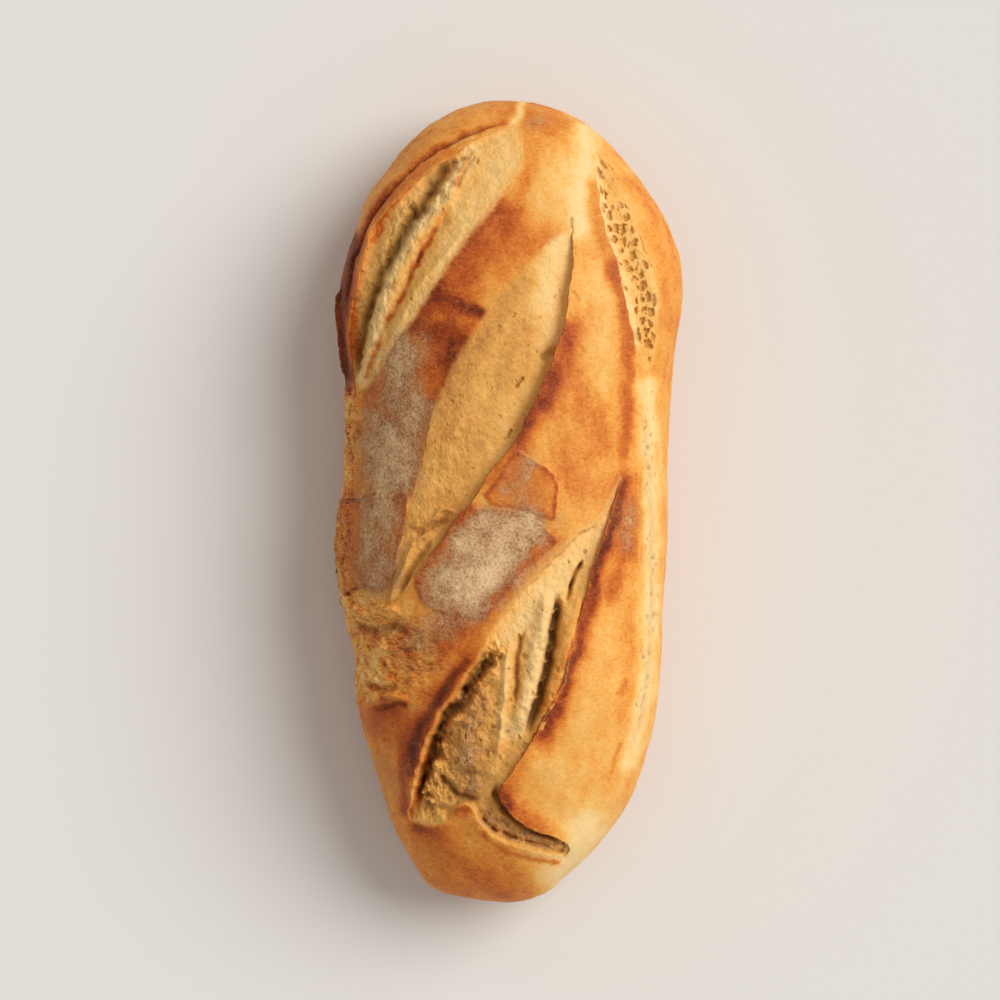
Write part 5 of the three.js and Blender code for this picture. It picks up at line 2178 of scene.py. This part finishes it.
@dataclass(frozen=True)
class Bread:
    """The one material of the loaf: crust, crumb and flour by the layers that the mesh carries."""

    crust: CrustFinish = CrustFinish()
    crumb: CrumbFinish = CrumbFinish()
    flour: FlourFinish = FlourFinish()
    shred: float = 3.4
    shred_drawn: float = 0.4
    shredded: float = 0.3
    curl_width: float = 0.15
    edge_grain: float = 1.6
    edge_band: Pair = (0.0, 0.1)
    edge_ragged: float = 0.9
    fine: float = 0.8
    curl_height: float = 0.5
    flour_height: float = 0.6
    relief: float = 0.4
    shine: float = 0.2

    def baked(
        self, graph: Graph, layer: str, pit: Socket, finish: CrustFinish | CrumbFinish
    ) -> Socket:
        """The colour of crust or crumb, mottled, grained, and darkened in its pits with painted shade.

        Args:
            graph: The material being made.
            layer: The layer that says how far it is baked.
            pit: How deep in a pit each point lies.
            finish: Its stops, mottling and grain.

        Returns:
            The colour.
        """
        level = graph.layer(layer)
        for size, strength, stretch in finish.mottling:
            level = graph.math("MULTIPLY_ADD", graph.stray(size, 2.0, 0.55, stretch), 4.0 * strength, level)
        level = graph.math("MULTIPLY_ADD", self.curls(graph, finish.curl), -finish.curled, level)
        level = graph.math("MULTIPLY_ADD", self.shreds(graph), -self.shredded, level)
        colour = graph.ramp(level, finish.stops)
        # painted shade in pits, pores and fissures
        return graph.mix(graph.math("MULTIPLY", pit, finish.shaded), colour, paint(finish.shade))

    def curls(self, graph: Graph, size: float, stretch: float = 1.0) -> Socket:
        """Fine raised curls, from -0.5 between them to 0.5 along them."""
        apart = graph.math("ABSOLUTE", graph.stray(size, 2.0, 0.6, stretch))
        return graph.math("SUBTRACT", graph.between(apart, self.curl_width, 0.0), 0.5)

    def shreds(self, graph: Graph) -> Socket:
        """Fine shreds across torn crust, from -0.5 to 0.5, and 0 elsewhere."""
        return graph.math("MULTIPLY", self.curls(graph, self.shred, self.shred_drawn), graph.layer("torn"))

    def glints(self, graph: Graph) -> Socket:
        """Where thin pale painted highlights, glints, run over the crust, from 0 to their strength.

        Args:
            graph: The material being made.

        Returns:
            The share of glint.
        """
        finish = self.crust
        apart = graph.math("ABSOLUTE", graph.stray(finish.glint_size, 4.0, 0.6, 1.6))
        glint_lines = graph.between(apart, finish.glint_width, 0.0)
        here = graph.between(graph.noise(2.0 * finish.glint_size, 2.0), *finish.glint_band)
        return graph.math("MULTIPLY", graph.math("MULTIPLY", glint_lines, here), finish.glinting)

    def dusted(self, graph: Graph, colour: Socket, flour: Socket) -> tuple:
        """Lays flour over a colour.

        Args:
            graph: The material being made.
            colour: The colour below.
            flour: How much flour lies there.

        Returns:
            The dusted colour, and the share of the surface that the flour hides.
        """
        finish = self.flour
        clouds = graph.stray(finish.clouds, 3.0, 0.6, finish.drawn)
        grain = graph.stray(finish.grain, 2.0, 0.6)
        cloudy = graph.math("MULTIPLY_ADD", clouds, finish.haze_clouds, flour)
        haze = graph.math("MULTIPLY", graph.between(cloudy, 0.0, finish.hazed), finish.hazing)
        colour = graph.mix(haze, colour, paint(finish.haze))
        heap = graph.math("MULTIPLY", flour, finish.heaping)
        heap = graph.math("MULTIPLY_ADD", clouds, finish.clouded, heap)
        heap = graph.math("MULTIPLY_ADD", self.curls(graph, finish.curl), finish.curled, heap)
        heap = graph.math("MULTIPLY_ADD", grain, finish.grained, heap)
        dusty = graph.between(flour, 0.0, finish.least)
        lying = graph.math("MULTIPLY", graph.between(heap, finish.low, finish.high), dusty)
        cover = graph.math("MULTIPLY", lying, finish.cover)
        return graph.mix(cover, colour, paint(finish.pale)), lying

    def edge(self, graph: Graph, crumb: Socket) -> Socket:
        """Where crumb takes over from crust, with a ragged edge.

        Args:
            graph: The material being made.
            crumb: How far each point is crumb.

        Returns:
            0 for crust and 1 for crumb.
        """
        beside = graph.math("MULTIPLY", graph.between(crumb, *self.edge_band), self.edge_ragged)
        edge = graph.math("MULTIPLY_ADD", graph.stray(self.edge_grain, 3.0), beside, crumb)
        return graph.math("MAXIMUM", 0.0, graph.math("MINIMUM", 1.0, edge))

    def make(self) -> bpy.types.Material:
        """Makes the material.

        Returns:
            The material.
        """
        graph = Graph("bread")
        crumb, pit, flour = graph.layer("crumb"), graph.layer("pit"), graph.layer("flour")
        crust_colour = self.baked(graph, "toast", pit, self.crust)
        # painted highlights: thin pale glints laid over the crust colour
        crust_colour = graph.mix(self.glints(graph), crust_colour, paint(self.crust.glint))
        crumb_colour = self.baked(graph, "gold", pit, self.crumb)
        colour = graph.mix(self.edge(graph, crumb), crust_colour, crumb_colour)
        colour, hidden = self.dusted(graph, colour, flour)
        rougher = self.crumb.roughness - self.crust.roughness
        rough = graph.math("MULTIPLY_ADD", crumb, rougher, self.crust.roughness)
        left = graph.math("SUBTRACT", self.flour.roughness, rough)
        rough = graph.math("MULTIPLY_ADD", flour, left, rough)
        height, curls = graph.noise(self.fine, 3.0, 0.6), self.curls(graph, self.crumb.curl)
        height = graph.math("MULTIPLY_ADD", curls, self.curl_height, height)
        height = graph.math("MULTIPLY_ADD", hidden, self.flour_height, height)
        height = graph.math("ADD", self.shreds(graph), height)
        strength = graph.math("MULTIPLY_ADD", crumb, self.crumb.bump - self.crust.bump, self.crust.bump)
        strength = graph.math("MULTIPLY_ADD", hidden, self.flour.bump, strength)
        raised = {"Strength": strength, "Distance": MM * self.relief, "Height": height}
        bump = graph.add("ShaderNodeBump", raised).outputs[0]
        surface = {"Base Color": colour, "Roughness": rough, "Normal": bump, "Specular IOR Level": self.shine}
        shader = graph.add("ShaderNodeBsdfPrincipled", surface)
        graph.add("ShaderNodeOutputMaterial", {0: shader.outputs[0]})
        return graph.material


class Bakery:
    """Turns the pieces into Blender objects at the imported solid's place."""

    def __init__(self, pieces: list[Piece]) -> None:
        """Measures the pieces together.

        Args:
            pieces: All pieces of the loaf.
        """
        self.pieces = pieces
        places = np.vstack([piece.patch.places for piece in pieces])
        low, high = places.min(0), places.max(0)
        corners = np.array([list(corner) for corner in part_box(NODE)]) / MM
        middle = corners.mean(0) - (low + high) / 2.0
        self.shift = np.array((middle[0], middle[1], corners[0, 2] - low[2]))
        sides = (high - low).round(2), np.ptp(corners, axis=0).round(2)
        log.info("the loaf measures %s mm and the packed one %s mm", *sides)

    def build(self, material: bpy.types.Material) -> None:
        """Makes every object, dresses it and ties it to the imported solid.

        Args:
            material: The material of them all.
        """
        for piece in self.pieces:
            loaf_part = self.object(piece)
            loaf_part.data.materials.append(material)
            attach(loaf_part, BODY)
            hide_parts(NODE)
            log.info("%s: %d triangles", piece.name, len(piece.triangles))

    def object(self, piece: Piece) -> bpy.types.Object:
        """One piece as a Blender object with its layers.

        Args:
            piece: The piece.

        Returns:
            The object, linked to the scene.
        """
        mesh = bpy.data.meshes.new(piece.name)
        places = (piece.patch.places + self.shift) * MM
        count = len(piece.triangles)
        mesh.vertices.add(len(places))
        mesh.vertices.foreach_set("co", places.astype(np.float32).ravel())
        mesh.loops.add(3 * count)
        mesh.loops.foreach_set("vertex_index", piece.triangles.astype(np.int32).ravel())
        mesh.polygons.add(count)
        mesh.polygons.foreach_set("loop_start", np.arange(0, 3 * count, 3, dtype=np.int32))
        mesh.update(calc_edges=True)
        mesh.shade_smooth()
        mesh.normals_split_custom_set_from_vertices(piece.patch.normals.tolist())
        for name, values in piece.patch.layers.items():
            layer = mesh.attributes.new(name, "FLOAT", "POINT")
            layer.data.foreach_set("value", values.astype(np.float32))
        made = bpy.data.objects.new(piece.name, mesh)
        bpy.context.scene.collection.objects.link(made)
        return made


@dataclass(frozen=True)
class Studio:
    """A pale floor, soft light from the upper right, and a camera that looks straight down."""

    floor_side: float = 4.0
    floor_colour: tuple = (232, 230, 226)
    floor_roughness: float = 0.9
    key_from: tuple = (0.64, 0.33, 0.69)
    key_strength: float = 2.35
    key_softness: float = 0.75
    key_colour: tuple = (1.0, 0.985, 0.96)
    sky: float = 0.42
    sky_colour: tuple = (1.0, 0.965, 0.92, 1.0)
    lens: float = 200.0
    sensor: float = 36.0
    view_across: float = 373.6
    view_level: float = 30.0
    view_centre: tuple = (-2.6, 0.4)

    def build(self, shift: Array) -> None:
        """Sets up the floor, the light and the camera.

        Args:
            shift: How far the loaf was moved to its place.
        """
        self.floor()
        self.light()
        self.camera(shift)

    def floor(self) -> None:
        """Lays the floor."""
        mesh = bpy.data.meshes.new("floor")
        half = self.floor_side / 2.0
        corners = [(-half, -half, 0), (half, -half, 0), (half, half, 0), (-half, half, 0)]
        mesh.from_pydata(corners, [], [(0, 1, 2, 3)])
        floor = bpy.data.objects.new("floor", mesh)
        bpy.context.scene.collection.objects.link(floor)
        graph = Graph("studio_floor")
        inputs = {"Base Color": paint(self.floor_colour), "Roughness": self.floor_roughness}
        shader = graph.add("ShaderNodeBsdfPrincipled", inputs)
        graph.add("ShaderNodeOutputMaterial", {0: shader.outputs[0]})
        mesh.materials.append(graph.material)

    def light(self) -> None:
        """Adds the key light and the sky."""
        lamp = bpy.data.lights.new("key", "SUN")
        lamp.energy = self.key_strength
        lamp.angle = self.key_softness
        lamp.color = self.key_colour
        key = bpy.data.objects.new("key", lamp)
        key.rotation_euler = Vector(self.key_from).to_track_quat("Z", "Y").to_euler()
        bpy.context.scene.collection.objects.link(key)
        world = bpy.data.worlds.new("sky")
        world.use_nodes = True
        background = world.node_tree.nodes["Background"]
        background.inputs["Color"].default_value = self.sky_colour
        background.inputs["Strength"].default_value = self.sky
        bpy.context.scene.world = world

    def camera(self, shift: Array) -> None:
        """Hangs the camera straight above the loaf.

        Args:
            shift: How far the loaf was moved to its place.
        """
        lens = bpy.data.cameras.new("camera")
        lens.lens = self.lens
        lens.sensor_width = self.sensor
        camera = bpy.data.objects.new("camera", lens)
        height = self.view_level + self.view_across * self.lens / self.sensor
        x, y = self.view_centre[0] + shift[0], self.view_centre[1] + shift[1]
        camera.location = (x * MM, y * MM, height * MM)
        bpy.context.scene.collection.objects.link(camera)
        bpy.context.scene.camera = camera
        bpy.context.scene.view_settings.view_transform = "Standard"


def main() -> None:
    """Makes the loaf and its studio."""
    logging.basicConfig(level=logging.INFO, format="%(message)s")
    bakery = Bakery(Oven(LOAF).pieces())
    bakery.build(Bread().make())
    Studio().build(bakery.shift)


if __name__ == "__main__":
    main()
